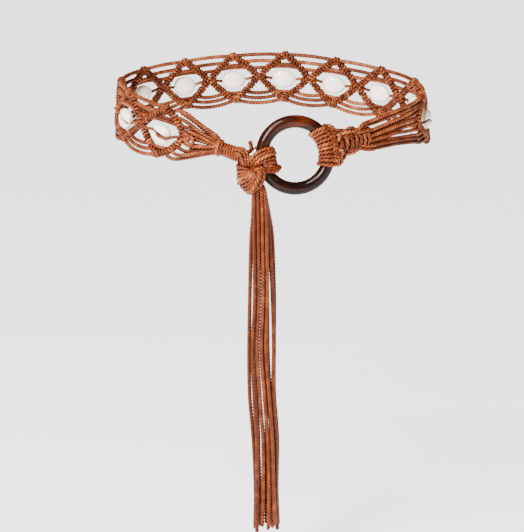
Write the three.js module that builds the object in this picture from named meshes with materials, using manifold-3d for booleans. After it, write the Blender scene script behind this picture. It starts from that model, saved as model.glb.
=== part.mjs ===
// A knotted cord belt, closed round the waist through a wooden ring, with cowrie shells in its net.
// Millimetres. +Z is up, -Y is the front, and the origin is the middle of the waist loop.

import * as THREE from "three";
import { mergeVertices } from "three/addons/utils/BufferGeometryUtils.js";
import Module from "manifold-3d";

const wasm = await Module();
wasm.setup();

// Waist loop: an ellipse seen from above, hung low at the front and leaning out like a hip.
const waistWidth = 279;
const waistDepth = 200;
const waistDip = 54;
const originRiseShare = 0.685;
const hipLean = THREE.MathUtils.degToRad(5);

// Cord.
const cordDiameter = 3.2;
const strandCount = 10;
const clearance = 0.3;

// Ring.
const ringOuterDiameter = 70;
const ringBarDiameter = 11.35;
const ringAlong = 21.2;
const ringStandOff = 3;

// Net of diamonds, and the fans of loose strands that lead to it.
const diamondCount = 11;
const netHalfHeight = 21;
const barDiameter = 5.8;
const arcCount = 3;
const upperSlack = 0.6;
const lowerSlack = 4.5;
const fanLeftLength = 32.5;
const fanRightLength = 63.4;
const fanStrands = 7;

// Cowries.
const shellLength = 22.4;
const shellWidth = 17.6;
const shellThickness = 10.4;
const shellStandOff = 1.4;
const shellDrop = 2.5;

// Neck wrap on the left of the ring.
const neckLength = 21.5;
const neckSmallDiameter = 12.5;
const neckLargeDiameter = 14;
const neckTurns = 10;
const neckRidge = 0.5;
const neckGap = 10.6;
const neckEndDrop = 0.6;
const neckEndBehind = 5;
const stubHeight = 13;

// Ring hitches and flat knots on the right of the ring.
const hitchWraps = 10;
const hitchFirstAngle = THREE.MathUtils.degToRad(-18);
const hitchPitch = 3.45;
const flatKnotGap = 4.4;
const flatKnotLength = 28.4;
const flatKnotCount = 3;
const flatKnotHalfHeight = 9.6;
const flatKnotThickness = 6.4;
const flatKnotGroove = 1.1;
const ribDepth = 0.9;

// Ring knot and fringe.
const knotFirstAngle = THREE.MathUtils.degToRad(163);
const knotLastAngle = THREE.MathUtils.degToRad(203);
const knotSleeveRibs = 5;
const knotSleeveSwell = 1.2;
const knotBundleDiameter = 12;
const bulgeWidth = 17;
const bulgeDepth = 16;
const bulgeTop = 8;
const bulgeRibs = 6;
const boldStrandDiameter = 4;
const knotBottomDrop = 31;
const fringeLength = 306;
const fringeBreadth = 26;
const fringeLeft = 6.5;
const fringeStandOff = 5;
const fringeHeadWidth = 17;
const fringeHeadDepth = 9;
const fringeHeadHeight = 4;
const layerPitch = 3.5;

// Derived sizes.
const cordRadius = cordDiameter / 2;
const barRadius = barDiameter / 2;
const ringTubeRadius = ringBarDiameter / 2;
const ringMajorRadius = (ringOuterDiameter - ringBarDiameter) / 2;
const neckEndLeft = ringOuterDiameter / 2 + neckGap;
const neckAlong = ringAlong - neckEndLeft - neckLength;
const netEnd = neckAlong - fanLeftLength;
const flatKnotStart = ringAlong + ringOuterDiameter / 2 + flatKnotGap;
const flatKnotEnd = flatKnotStart + flatKnotLength;
const netStart = flatKnotEnd + fanRightLength;
const Z = new THREE.Vector3(0, 0, 1);

// Height of the band's middle line, as a share of the dip, round the loop from back to back.
const bandRise = [
  { at: -0.5, rise: 1 },
  { at: -0.374, rise: 0.88 },
  { at: -0.25, rise: 0.676 },
  { at: -0.2, rise: 0.583 },
  { at: -0.168, rise: 0.481 },
  { at: -0.109, rise: 0.322 },
  { at: -0.065, rise: 0.189 },
  { at: -0.032, rise: 0.022 },
  { at: 0, rise: 0 },
  { at: 0.026, rise: 0.056 },
  { at: 0.082, rise: 0.211 },
  { at: 0.114, rise: 0.317 },
  { at: 0.194, rise: 0.433 },
  { at: 0.25, rise: 0.546 },
  { at: 0.374, rise: 0.815 },
  { at: 0.5, rise: 1 },
];

// Sideways place of each fringe strand down its length, as shares of the fringe's breadth.
const fringeRows = [
  { down: 0, across: [0.16, 0.17, 0.29, 0.41, 0.52, 0.53, 0.23, 0.34, 0.4, 0.5] },
  { down: 0.08, across: [0.13, 0.18, 0.31, 0.45, 0.59, 0.66, 0.22, 0.38, 0.46, 0.7] },
  { down: 0.15, across: [0.07, 0.18, 0.32, 0.46, 0.6, 0.7, 0.2, 0.42, 0.5, 0.8] },
  { down: 0.31, across: [0.03, 0.2, 0.34, 0.48, 0.62, 0.8, 0.22, 0.5, 0.62, 0.86] },
  { down: 0.46, across: [0, 0.12, 0.28, 0.42, 0.57, 0.84, 0.2, 0.5, 0.64, 0.86] },
  { down: 0.6, across: [0.02, 0.18, 0.37, 0.53, 0.67, 0.82, 0.26, 0.58, 0.7, 0.86] },
  { down: 0.74, across: [0.15, 0.27, 0.48, 0.64, 0.79, 0.92, 0.32, 0.6, 0.76, 0.97] },
  { down: 0.89, across: [0.22, 0.27, 0.51, 0.71, 0.89, 0.98, 0.36, 0.62, 0.8, 1] },
  { down: 1, across: [0.2, 0.27, 0.49, 0.73, 1, 1.08, 0.4, 0.64, 0.86, 1.1] },
];
const fringeLayers = [1, 0, 0, 0, 0, 1, 2, 1, 2, 2];
const fringeEndTrim = [3, 0, 5, 2, 6, 1, 4, 7, 2, 5];

// Arc length round the waist ellipse, from the front middle, positive to the right.
const ellipseSteps = 720;
const ellipseLengths = [0];
for (let step = 1; step <= ellipseSteps; step += 1) {
  const middle = ((step - 0.5) * 2 * Math.PI) / ellipseSteps;
  const pace = Math.hypot((waistWidth / 2) * Math.cos(middle), (waistDepth / 2) * Math.sin(middle));
  ellipseLengths.push(ellipseLengths[step - 1] + (pace * 2 * Math.PI) / ellipseSteps);
}
const loopLength = ellipseLengths[ellipseSteps];

function waistAngle(along) {
  const wrapped = ((along % loopLength) + loopLength) % loopLength;
  let low = 0;
  let high = ellipseSteps;
  while (high - low > 1) {
    const middle = (low + high) >> 1;
    if (ellipseLengths[middle] <= wrapped) low = middle;
    else high = middle;
  }
  const share = (wrapped - ellipseLengths[low]) / (ellipseLengths[high] - ellipseLengths[low]);
  return ((low + share) * 2 * Math.PI) / ellipseSteps;
}

// Smooth cubic through a table's rows, level at both ends.
function smoothAt(rows, key, value, position) {
  const last = rows.length - 1;
  let index = 0;
  while (index < last - 1 && rows[index + 1][key] <= position) index += 1;
  const slope = (row) => {
    if (row <= 0 || row >= last) return 0;
    return (rows[row + 1][value] - rows[row - 1][value]) / (rows[row + 1][key] - rows[row - 1][key]);
  };
  const span = rows[index + 1][key] - rows[index][key];
  const t = (position - rows[index][key]) / span;
  const fromStart = (2 * t ** 3 - 3 * t * t + 1) * rows[index][value];
  const fromEnd = (3 * t * t - 2 * t ** 3) * rows[index + 1][value];
  const startPull = (t ** 3 - 2 * t * t + t) * slope(index) * span;
  const endPull = (t ** 3 - t * t) * slope(index + 1) * span;
  return fromStart + fromEnd + startPull + endPull;
}

function bandHeight(along) {
  let share = along / loopLength;
  share -= Math.floor(share + 0.5);
  return (smoothAt(bandRise, "at", "rise", share) - originRiseShare) * waistDip;
}

// Middle of the band with its three directions: along the band, up across it and out from the waist.
function bandFrame(along) {
  const angle = waistAngle(along);
  const origin = new THREE.Vector3(
    (waistWidth / 2) * Math.sin(angle),
    (-waistDepth / 2) * Math.cos(angle),
    bandHeight(along),
  );
  const level = new THREE.Vector3(waistWidth * Math.cos(angle), waistDepth * Math.sin(angle), 0);
  level.normalize();
  const outward = new THREE.Vector3(level.y, -level.x, 0);
  const lean = outward.multiplyScalar(Math.cos(hipLean)).addScaledVector(Z, Math.sin(hipLean));
  const climb = bandHeight(along + 0.5) - bandHeight(along - 0.5);
  const forward = level.clone().addScaledVector(Z, climb).normalize();
  const up = new THREE.Vector3().crossVectors(lean, forward).normalize();
  const out = new THREE.Vector3().crossVectors(forward, up);
  return { origin, forward, up, out, level, lean };
}

function onBand(along, up, out) {
  const frame = bandFrame(along);
  return frame.origin.addScaledVector(frame.up, up).addScaledVector(frame.out, out);
}

// The ring's own level frame: right, up in its plane and out towards the front.
const ringBand = bandFrame(ringAlong);
const ringRight = ringBand.level;
const ringOut = ringBand.lean;
const ringUp = new THREE.Vector3().crossVectors(ringOut, ringRight);
const ringCentre = ringBand.origin.clone().addScaledVector(ringOut, ringStandOff);

function onRing(right, up, out) {
  return ringCentre
    .clone()
    .addScaledVector(ringRight, right)
    .addScaledVector(ringUp, up)
    .addScaledVector(ringOut, out);
}

// A point at some distance from the middle of the ring's round bar; turn 0 faces out of the ring.
function roundRing(ringAngle, turn, distance) {
  const radius = ringMajorRadius + distance * Math.cos(turn);
  return onRing(radius * Math.cos(ringAngle), radius * Math.sin(ringAngle), distance * Math.sin(turn));
}

// A closed tube through stations of { at, wide, thick, out }.
function tube(stations, sides) {
  const count = stations.length;
  const positions = [];
  const faces = [];
  for (let index = 0; index < count; index += 1) {
    const before = Math.max(index - 1, 0);
    const after = Math.min(index + 1, count - 1);
    const station = stations[index];
    const ahead = stations[after].at.clone().sub(stations[before].at).normalize();
    const side = new THREE.Vector3().crossVectors(ahead, station.out).normalize();
    const top = new THREE.Vector3().crossVectors(side, ahead);
    for (let corner = 0; corner < sides; corner += 1) {
      const turn = ((corner + 0.5) * 2 * Math.PI) / sides;
      const point = station.at.clone();
      point.addScaledVector(side, station.wide * Math.cos(turn));
      point.addScaledVector(top, station.thick * Math.sin(turn));
      positions.push(point.x, point.y, point.z);
    }
  }
  for (let index = 0; index < count - 1; index += 1) {
    const here = index * sides;
    const next = here + sides;
    for (let corner = 0; corner < sides; corner += 1) {
      const other = (corner + 1) % sides;
      faces.push(here + corner, next + other, here + other);
      faces.push(here + corner, next + corner, next + other);
    }
  }
  const end = (count - 1) * sides;
  for (let corner = 1; corner < sides - 1; corner += 1) {
    faces.push(0, corner, corner + 1);
    faces.push(end, end + corner + 1, end + corner);
  }
  return meshOf(positions, faces);
}

function meshOf(positions, faces) {
  const geometry = new THREE.BufferGeometry();
  geometry.setAttribute("position", new THREE.Float32BufferAttribute(positions, 3));
  geometry.setIndex(faces);
  return geometry;
}

function roundTube(points, out, radius, sides) {
  const stations = points.map((at) => ({ at, wide: radius, thick: radius, out }));
  return solidOf(tube(stations, sides));
}

// Solids and joins.
function solidOf(geometry) {
  const bare = new THREE.BufferGeometry();
  bare.setAttribute("position", geometry.getAttribute("position"));
  bare.setIndex(geometry.getIndex());
  const merged = mergeVertices(bare, 1e-4);
  const vertProperties = new Float32Array(merged.getAttribute("position").array);
  const triVerts = new Uint32Array(merged.getIndex().array);
  const mesh = new wasm.Mesh({ numProp: 3, vertProperties, triVerts });
  return new wasm.Manifold(mesh);
}

function geometryOf(solid) {
  const mesh = solid.getMesh();
  const geometry = new THREE.BufferGeometry();
  geometry.setAttribute("position", new THREE.BufferAttribute(mesh.vertProperties, 3));
  geometry.setIndex(new THREE.BufferAttribute(mesh.triVerts, 1));
  return geometry;
}

function unite(solids) {
  return solids.reduce((joined, solid) => joined.add(solid));
}

// Net: a chart of knots and strands on the band, thickened into one solid.
// Knots are { along, up, out, thick }, and one on a panel's end plane has a cap of some half height.
// Strands are [knot, knot, half width].
function nettedSolid(knots, strands) {
  const positions = [];
  const faces = [];
  const addCorner = (knot, along, up) => {
    for (const face of [knot.thick, -knot.thick]) {
      positions.push(...onBand(knot.along + along, knot.up + up, knot.out + face).toArray());
    }
    return positions.length / 3 - 2;
  };
  const addQuad = (a, b, c, d) => faces.push(a, b, c, a, c, d);
  const ends = knots.map(() => []);
  strands.forEach(([from, to, half]) => {
    for (const [here, there] of [[from, to], [to, from]]) {
      const ahead = knots[there].along - knots[here].along;
      const run = new THREE.Vector2(ahead, knots[there].up - knots[here].up);
      ends[here].push({ to: there, half, run: run.normalize() });
    }
  });
  knots.forEach((knot, index) => {
    if (knot.cap) ends[index].push({ to: -1, half: knot.cap, run: new THREE.Vector2(knot.capSide, 0) });
    ends[index].sort((a, b) => a.run.angle() - b.run.angle());
    const fanOut = ends[index];
    fanOut.forEach((end, place) => {
      const next = fanOut[(place + 1) % fanOut.length];
      const [along, up] = cornerBetween(end, next);
      end.left = addCorner(knot, along, up);
      next.right = end.left;
    });
    if (fanOut.length > 2) {
      const hub = addCorner(knot, 0, 0);
      for (const end of fanOut) {
        faces.push(hub, end.right, end.left);
        faces.push(hub + 1, end.left + 1, end.right + 1);
      }
    }
    for (const end of fanOut.filter((one) => one.to < 0)) {
      addQuad(end.right + 1, end.left + 1, end.left, end.right);
    }
  });
  for (const [from, to] of strands) {
    const near = ends[from].find((end) => end.to === to);
    const far = ends[to].find((end) => end.to === from);
    addQuad(near.right, far.left, far.right, near.left);
    addQuad(near.left + 1, far.right + 1, far.left + 1, near.right + 1);
    addQuad(near.right + 1, far.left + 1, far.left, near.right);
    addQuad(far.right + 1, near.left + 1, near.left, far.right);
  }
  return meshOf(positions, faces);
}

// Where the left side of one strand meets the right side of the next one round a knot.
function cornerBetween(first, second) {
  const capped = [first, second].find((end) => end.to < 0);
  if (capped) return [0, capped.half * (capped === first ? capped.run.x : -capped.run.x)];
  const turn = first.run.cross(second.run);
  const straight = 0.12;
  if (Math.abs(turn) < straight) {
    const half = (first.half + second.half) / 2;
    return [-first.run.y * half, first.run.x * half];
  }
  const ahead = (second.half + first.half * first.run.dot(second.run)) / turn;
  return [
    first.run.x * ahead - first.run.y * first.half,
    first.run.y * ahead + first.run.x * first.half,
  ];
}

const netLength = loopLength + netEnd - netStart;
const diamondPitch = netLength / diamondCount;
const halfPitch = diamondPitch / 2;
const cradleUp = (side) => shellWidth / 2 + clearance + cordRadius - side * shellDrop;
const barSlant = Math.hypot(halfPitch, netHalfHeight);
const shellFront = shellStandOff + shellThickness / 2;

// One panel: a diamond of hitched bars, half of the free arcs on either side, and the shell's strands.
function netPanel(index) {
  const start = netStart + index * diamondPitch;
  const knots = [];
  const strands = [];
  const addKnot = (ahead, up, out, thick, extra = {}) => {
    knots.push({ along: start + ahead, up, out, thick, ...extra });
    return knots.length - 1;
  };
  const crossingCap = (barRadius * barSlant) / halfPitch;
  const left = addKnot(clearance / 2, 0, 0, barRadius, { cap: crossingCap, capSide: -1 });
  const right = addKnot(diamondPitch - clearance / 2, 0, 0, barRadius, { cap: crossingCap, capSide: 1 });
  for (const side of [1, -1]) {
    const rungs = netRungs(side);
    const peak = addKnot(halfPitch, side * netHalfHeight, 0, barRadius);
    const cradle = [];
    for (const end of [-1, 1]) {
      const crossing = end < 0 ? left : right;
      const whole = end < 0 ? index > 0 : index < diamondCount - 1;
      let last = crossing;
      rungs.forEach((share, rung) => {
        const ahead = halfPitch + end * halfPitch * (1 - share);
        const up = side * share * netHalfHeight;
        const knot = rung === rungs.length - 1 ? peak : addKnot(ahead, up, 0, barRadius);
        strands.push([last, knot, barRadius]);
        if (rung === 0) cradle.push(knot);
        if (whole) addArc(knots, strands, knot, share, start, end, side);
        last = knot;
      });
    }
    const middle = addKnot(halfPitch, side * cradleUp(side), 0, cordRadius);
    strands.push([cradle[0], middle, cordRadius], [middle, cradle[1], cordRadius]);
  }
  addThread(strands, addKnot, left, right);
  return nettedSolid(knots, strands);
}

// Where arcs leave a bar, as shares of its length from the crossing to the peak.
function netRungs(side) {
  const rungs = [];
  for (let arc = 0; arc < arcCount; arc += 1) {
    rungs.push(THREE.MathUtils.lerp(cradleUp(side) / netHalfHeight, 1, arc / (arcCount - 1)));
  }
  return rungs;
}

// Half of a free arc, from a bar to the plane where two diamonds meet.
function addArc(knots, strands, knot, share, start, end, side) {
  const slack = (side > 0 ? upperSlack : lowerSlack) * share;
  const crossing = start + (end < 0 ? clearance / 2 : diamondPitch - clearance / 2);
  const base = share * netHalfHeight;
  const reach = share * halfPitch;
  const bend = { along: crossing - end * reach * 0.5, up: side * (base + slack * 0.75), out: 0 };
  const meet = { along: crossing, up: side * (base + slack), out: 0 };
  knots.push({ ...bend, thick: cordRadius });
  knots.push({ ...meet, thick: cordRadius, cap: cordRadius, capSide: end });
  strands.push([knot, knots.length - 2, cordRadius]);
  strands.push([knots.length - 2, knots.length - 1, cordRadius]);
}

// The strand that runs over the shell's slit from one crossing to the other.
const threadHalfWidth = 1.2;
const threadRest = shellLength * 0.42;

function addThread(strands, addKnot, left, right) {
  const low = shellFront - shellThickness * 0.02;
  const before = addKnot(halfPitch - threadRest, -shellDrop, low, threadHalfWidth);
  const over = addKnot(halfPitch, -shellDrop, shellFront + clearance * 3, threadHalfWidth);
  const after = addKnot(halfPitch + threadRest, -shellDrop, low, threadHalfWidth);
  strands.push([left, before, threadHalfWidth], [before, over, threadHalfWidth]);
  strands.push([over, after, threadHalfWidth], [after, right, threadHalfWidth]);
}

// Cowrie: an egg laid along the band with a groove along its front for the strand.
function cowrie(index) {
  const middle = netStart + (index + 0.5) * diamondPitch;
  const profile = [
    { at: -1, girth: 0.3 },
    { at: -0.72, girth: 0.78 },
    { at: -0.25, girth: 1 },
    { at: 0.3, girth: 0.94 },
    { at: 0.75, girth: 0.66 },
    { at: 1, girth: 0.26 },
  ];
  const section = [
    { across: 0, front: 0.45 },
    { across: -0.36, front: 0.98 },
    { across: -0.85, front: 0.55 },
    { across: -1, front: -0.1 },
    { across: -0.62, front: -0.85 },
    { across: 0.62, front: -0.85 },
    { across: 1, front: -0.1 },
    { across: 0.85, front: 0.55 },
    { across: 0.36, front: 0.98 },
  ];
  const frame = bandFrame(middle);
  const base = onBand(middle, -shellDrop, shellStandOff);
  const positions = [];
  for (const { at, girth } of profile) {
    for (const { across, front } of section) {
      const point = base.clone().addScaledVector(frame.forward, (at * shellLength) / 2);
      point.addScaledVector(frame.up, (girth * across * shellWidth) / 2);
      point.addScaledVector(frame.out, (girth * front * shellThickness) / 2);
      positions.push(...point.toArray());
    }
  }
  const around = section.length;
  const faces = [];
  for (let ring = 0; ring < profile.length - 1; ring += 1) {
    for (let corner = 0; corner < around; corner += 1) {
      const here = ring * around + corner;
      const beside = ring * around + ((corner + 1) % around);
      faces.push(here, beside + around, here + around, here, beside, beside + around);
    }
  }
  const end = (profile.length - 1) * around;
  for (let corner = 1; corner < around - 1; corner += 1) {
    faces.push(0, corner + 1, corner, end, end + corner, end + corner + 1);
  }
  return meshOf(positions, faces);
}

// A plate cut to an outline of [along, up] points and laid on the band.
function bandPlate(outline, thickAt) {
  const contour = outline.map(([along, up]) => new THREE.Vector2(along, up));
  if (THREE.ShapeUtils.area(contour) < 0) contour.reverse();
  const triangles = THREE.ShapeUtils.triangulateShape(contour, []);
  const count = contour.length;
  const positions = [];
  for (const face of [1, -1]) {
    for (const point of contour) {
      positions.push(...onBand(point.x, point.y, face * thickAt(point.x)).toArray());
    }
  }
  const faces = [];
  for (const [a, b, c] of triangles) faces.push(a, b, c, a + count, c + count, b + count);
  for (let index = 0; index < count; index += 1) {
    const next = (index + 1) % count;
    faces.push(index + count, next + count, next, index + count, next, index);
  }
  return meshOf(positions, faces);
}

// A fan of strands from a narrow piece to the bars of the net's end diamond, cut from one plate.
function fan(narrow, narrowHalf, narrowThick, crossing) {
  const toNet = Math.sign(crossing - narrow);
  const standOff = ((barRadius + clearance) * barSlant) / netHalfHeight;
  const barAlong = (up) => crossing + toNet * ((Math.abs(up) * halfPitch) / netHalfHeight - standOff);
  const bend = (t) => t * t * (3 - 2 * t) * 0.5 + t * 0.5;
  const spread = 0.88;
  const tooth = (index) => {
    const share = (2 * index) / (fanStrands - 1) - 1;
    return { near: share * (narrowHalf - cordRadius), far: share * spread * netHalfHeight };
  };
  const edge = (index, side, from, to) => {
    const { near, far } = tooth(index);
    const points = [];
    const pieces = Math.max(1, Math.round((to - from) * 5));
    for (let piece = 0; piece <= pieces; piece += 1) {
      const t = THREE.MathUtils.lerp(from, to, piece / pieces);
      const up = THREE.MathUtils.lerp(near, far, bend(t)) + side * cordRadius;
      const end = barAlong(far + side * cordRadius);
      points.push([THREE.MathUtils.lerp(narrow, end, t), up]);
    }
    return points;
  };
  const nearGap = (2 * (narrowHalf - cordRadius)) / (fanStrands - 1);
  const farGap = (2 * spread * netHalfHeight) / (fanStrands - 1);
  const split = THREE.MathUtils.clamp((cordDiameter - nearGap) / (farGap - nearGap) + 0.08, 0.1, 0.85);
  const outline = [...edge(0, -1, 0, 1)];
  for (let index = 0; index < fanStrands; index += 1) {
    if (index > 0) outline.push(...edge(index, -1, split, 1).slice(1));
    if (index < fanStrands - 1) outline.push(...edge(index, 1, split, 1).slice(1).reverse());
    if (index < fanStrands - 1) {
      const [lower] = edge(index, 1, split, 1);
      const [upper] = edge(index + 1, -1, split, 1);
      outline.push([(lower[0] + upper[0]) / 2, (lower[1] + upper[1]) / 2]);
    }
  }
  outline.push(...edge(fanStrands - 1, 1, 0, 1).reverse());
  const reach = Math.abs(crossing - narrow);
  const thickAt = (along) => {
    const t = THREE.MathUtils.clamp(Math.abs(along - narrow) / reach, 0, 1);
    return THREE.MathUtils.lerp(narrowThick, cordRadius, t);
  };
  return bandPlate(outline, thickAt);
}

// Neck: cord wound round the gathered strands, with its cut end standing up beyond it.
const neckFar = onBand(neckAlong, 0, 0);
const neckNear = onRing(-neckEndLeft, -neckEndDrop, -neckEndBehind);
const neckReach = neckFar.distanceTo(neckNear) / 2;
const neckBend = neckFar.clone().addScaledVector(bandFrame(neckAlong).forward, neckReach);
const neckForward = neckNear.clone().sub(neckBend).normalize();
const neckLine = new THREE.QuadraticBezierCurve3(neckFar, neckBend, neckNear);

function neckWrap() {
  const stations = [];
  const perTurn = 2;
  const steps = neckTurns * perTurn;
  for (let step = 0; step <= steps; step += 1) {
    const t = step / steps;
    const radius = THREE.MathUtils.lerp(neckSmallDiameter, neckLargeDiameter, t) / 2;
    const ridge = step % perTurn ? 0 : -neckRidge;
    stations.push({
      at: neckLine.getPoint(t),
      wide: radius + ridge,
      thick: radius + ridge,
      out: ringOut,
    });
  }
  return solidOf(tube(stations, 10)).add(neckStub(cordRadius));
}

function neckStub(radius) {
  const root = neckNear.clone().addScaledVector(neckForward, -cordRadius);
  root.addScaledVector(ringUp, neckLargeDiameter / 4);
  const elbow = neckNear.clone().addScaledVector(ringUp, neckLargeDiameter * 0.52);
  elbow.addScaledVector(ringRight, cordDiameter * 1.5);
  const tip = neckNear.clone().addScaledVector(ringUp, stubHeight);
  tip.addScaledVector(ringRight, cordDiameter * 1.8);
  return roundTube([root, elbow, tip], ringOut, radius, 6);
}

// Ring.
function ringGeometry(extra, sides, steps) {
  const geometry = new THREE.TorusGeometry(ringMajorRadius, ringTubeRadius + extra, sides, steps);
  const basis = new THREE.Matrix4().makeBasis(ringRight, ringUp, ringOut).setPosition(ringCentre);
  return geometry.applyMatrix4(basis);
}

const ringKeepOut = solidOf(ringGeometry(clearance, 10, 36));

// A ribbed sleeve over part of the ring's round bar, hollow with a small gap to the wood.
function ringSleeve(firstAngle, lastAngle, ribs, size, shift) {
  const stations = [];
  for (let step = 0; step <= ribs * 2; step += 1) {
    const t = step / (ribs * 2);
    const angle = THREE.MathUtils.lerp(firstAngle, lastAngle, t);
    const radius = size(t) - (step % 2 ? 0 : ribDepth);
    stations.push({ at: roundRing(angle, 0, shift(t)), wide: radius, thick: radius, out: ringOut });
  }
  return solidOf(tube(stations, 10));
}

// Hitches on the ring's right side: a ribbed sleeve with a row of cord bights on its outer edge.
function ringHitches() {
  const lastAngle = hitchFirstAngle + (hitchWraps * hitchPitch) / ringMajorRadius;
  const size = ringTubeRadius + clearance + cordDiameter;
  const pairs = hitchWraps / 2;
  const sleeve = ringSleeve(hitchFirstAngle, lastAngle, pairs, () => size, () => 0);
  const bights = [];
  for (let pair = 0; pair < pairs; pair += 1) {
    const middle = THREE.MathUtils.lerp(hitchFirstAngle, lastAngle, (pair + 0.5) / pairs);
    const points = [-0.7, 0, 0.7].map((turn) => {
      return roundRing(middle, turn, size + cordRadius * (turn ? -0.6 : 0.5));
    });
    bights.push(roundTube(points, ringUp, cordRadius, 5));
  }
  return unite([sleeve, ...bights]).subtract(ringKeepOut);
}

// Flat knots: a flattened core with the working cord's turns standing proud, two to a knot.
function flatKnots() {
  const steps = flatKnotCount * 4;
  const stations = [];
  for (let step = 0; step <= steps; step += 1) {
    const along = flatKnotStart + (flatKnotLength * step) / steps;
    const groove = step % 2 ? 0 : flatKnotGroove;
    stations.push({
      at: onBand(along, 0, 0),
      wide: flatKnotHalfHeight - groove,
      thick: flatKnotThickness / 2 - groove * 0.6,
      out: bandFrame(along).out,
    });
  }
  return tube(stations, 10);
}

// A point of the ring knot: across in shares of its width from the ring's left edge, down and out in
// shares of its drop and its depth.
function onKnot(across, down, out) {
  return onRing(across * bulgeWidth - ringOuterDiameter / 2, -down * knotBottomDrop, out * bulgeDepth);
}

// Ring knot: the gathered strands go over and round the ring, come out below the neck and turn down.
function knotBulge() {
  const stations = [];
  for (let step = 0; step <= bulgeRibs * 2; step += 1) {
    const t = step / (bulgeRibs * 2);
    const rib = step % 2 ? 0 : -ribDepth;
    const taper = 1 - 0.45 * t ** 3 - 0.3 * (1 - t) ** 3;
    stations.push({
      at: onKnot(-0.45 + 0.26 * t * t, THREE.MathUtils.lerp(bulgeTop / knotBottomDrop, 1, t), 0.06),
      wide: (taper * bulgeWidth) / 2 + rib,
      thick: (taper * bulgeDepth) / 2 + rib,
      out: ringOut,
    });
  }
  return solidOf(tube(stations, 8));
}

function boldStrands() {
  return [0, 1].map((index) => {
    const points = [
      onKnot(-0.12, 0.34 - index * 0.03, 0.44),
      onKnot(0.09, 0.47, 0.6),
      onKnot(0.14, 0.65, 0.6),
      onKnot(0.04, 0.84, 0.53),
      onKnot(-0.06, 1.06, 0.38),
    ];
    for (const point of points) point.addScaledVector(ringRight, index * boldStrandDiameter * 0.85);
    return roundTube(points, ringOut, boldStrandDiameter / 2, 6);
  });
}

function ringKnot() {
  const base = ringTubeRadius + clearance + cordDiameter;
  const bundleRadius = knotBundleDiameter / 2;
  const sleeve = ringSleeve(knotFirstAngle, knotLastAngle, knotSleeveRibs,
    (t) => base + knotSleeveSwell * (0.8 + t), (t) => -knotSleeveSwell * (1 + t));
  const bundle = [
    neckNear.clone().addScaledVector(neckForward, -clearance * 3),
    onKnot(-0.24, 0.15, 0.13),
    onKnot(0.24, 0.15, 0.31),
  ].map((at, index) => ({ at, wide: bundleRadius * (1 + index / 6), thick: bundleRadius, out: ringOut }));
  const bridgeEnds = [onKnot(0.29, 0.32, -0.19), onKnot(-0.41, 0.55, -0.13)];
  const bridge = roundTube(bridgeEnds, ringOut, bundleRadius, 8);
  const neckEnd = neckNear.clone().addScaledVector(neckForward, clearance);
  const neckBlock = roundTube([neckBend, neckEnd], ringOut, neckLargeDiameter / 2 + clearance, 10);
  const floor = new THREE.BoxGeometry(ringOuterDiameter, knotBottomDrop, ringOuterDiameter);
  const basis = new THREE.Matrix4().makeBasis(ringRight, ringUp, ringOut);
  basis.setPosition(onRing(-ringOuterDiameter / 2, -1.5 * knotBottomDrop, 0));
  const solids = [sleeve, solidOf(tube(bundle, 8)), bridge, knotBulge(), ...boldStrands()];
  const stubBlock = neckStub(cordRadius + clearance);
  const cuts = [ringKeepOut, neckBlock, stubBlock, solidOf(floor.applyMatrix4(basis))];
  return cuts.reduce((knot, cut) => knot.subtract(cut), unite(solids));
}

// Fringe: the cords' free ends, hanging straight down from a short head under the knot.
function fringePoint(strand, row) {
  const across = fringeRows[row].across[strand];
  const down = fringeRows[row].down * (fringeLength - fringeEndTrim[strand]);
  const right = across * fringeBreadth - fringeLeft - ringOuterDiameter / 2;
  const point = onRing(right, -knotBottomDrop - clearance, fringeStandOff);
  point.y += fringeLayers[strand] * layerPitch * Math.min(1, 0.5 + 3 * fringeRows[row].down);
  point.z -= down;
  return point;
}

function fringe() {
  const toFront = new THREE.Vector3(0, -1, 0);
  const solids = [];
  for (let strand = 0; strand < strandCount; strand += 1) {
    const points = fringeRows.map((_, row) => fringePoint(strand, row));
    solids.push(roundTube(points, toFront, cordRadius, 4));
  }
  const headRight = fringeHeadWidth / 2 - fringeLeft - ringOuterDiameter / 2;
  const headTop = onRing(headRight, -knotBottomDrop - clearance, fringeStandOff * 0.6);
  const headFoot = headTop.clone().addScaledVector(Z, -fringeHeadHeight);
  const head = [headTop, headFoot].map((at) => {
    return { at, wide: fringeHeadWidth / 2, thick: fringeHeadDepth / 2, out: toFront };
  });
  solids.push(solidOf(tube(head, 10)));
  return unite(solids);
}

const neckHalf = neckSmallDiameter / 2;
const fanLeft = fan(neckAlong - clearance, neckHalf, neckHalf - 1, netEnd);
const fanRight = fan(flatKnotEnd + clearance, flatKnotHalfHeight, flatKnotThickness / 2, netStart);

// Materials.
const cord = new THREE.MeshStandardMaterial({ color: 0x9a4f26, roughness: 0.55, metalness: 0 });
const wood = new THREE.MeshStandardMaterial({ color: 0x3a1108, roughness: 0.15, metalness: 0 });
const shell = new THREE.MeshStandardMaterial({ color: 0xf3e9d8, roughness: 0.2, metalness: 0 });

const belt = new THREE.Group();

function place(name, geometry, material) {
  const mesh = new THREE.Mesh(geometry, material);
  mesh.name = name;
  belt.add(mesh);
}

place("ring", ringGeometry(0, 10, 36), wood);
place("ring_hitches", geometryOf(ringHitches()), cord);
place("flat_knots", flatKnots(), cord);
place("fan_right", fanRight, cord);
for (let index = 0; index < diamondCount; index += 1) {
  place(`net_${index + 1}`, netPanel(index), cord);
  place(`cowrie_${index + 1}`, cowrie(index), shell);
}
place("fan_left", fanLeft, cord);
place("neck_wrap", geometryOf(neckWrap()), cord);
place("ring_knot", geometryOf(ringKnot()), cord);
place("fringe", geometryOf(fringe()), cord);

export default belt;
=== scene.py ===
"""The look of a knotted cord belt: laid rope, cowrie shells, a varnished ring and a plain studio."""
import math
import random

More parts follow.
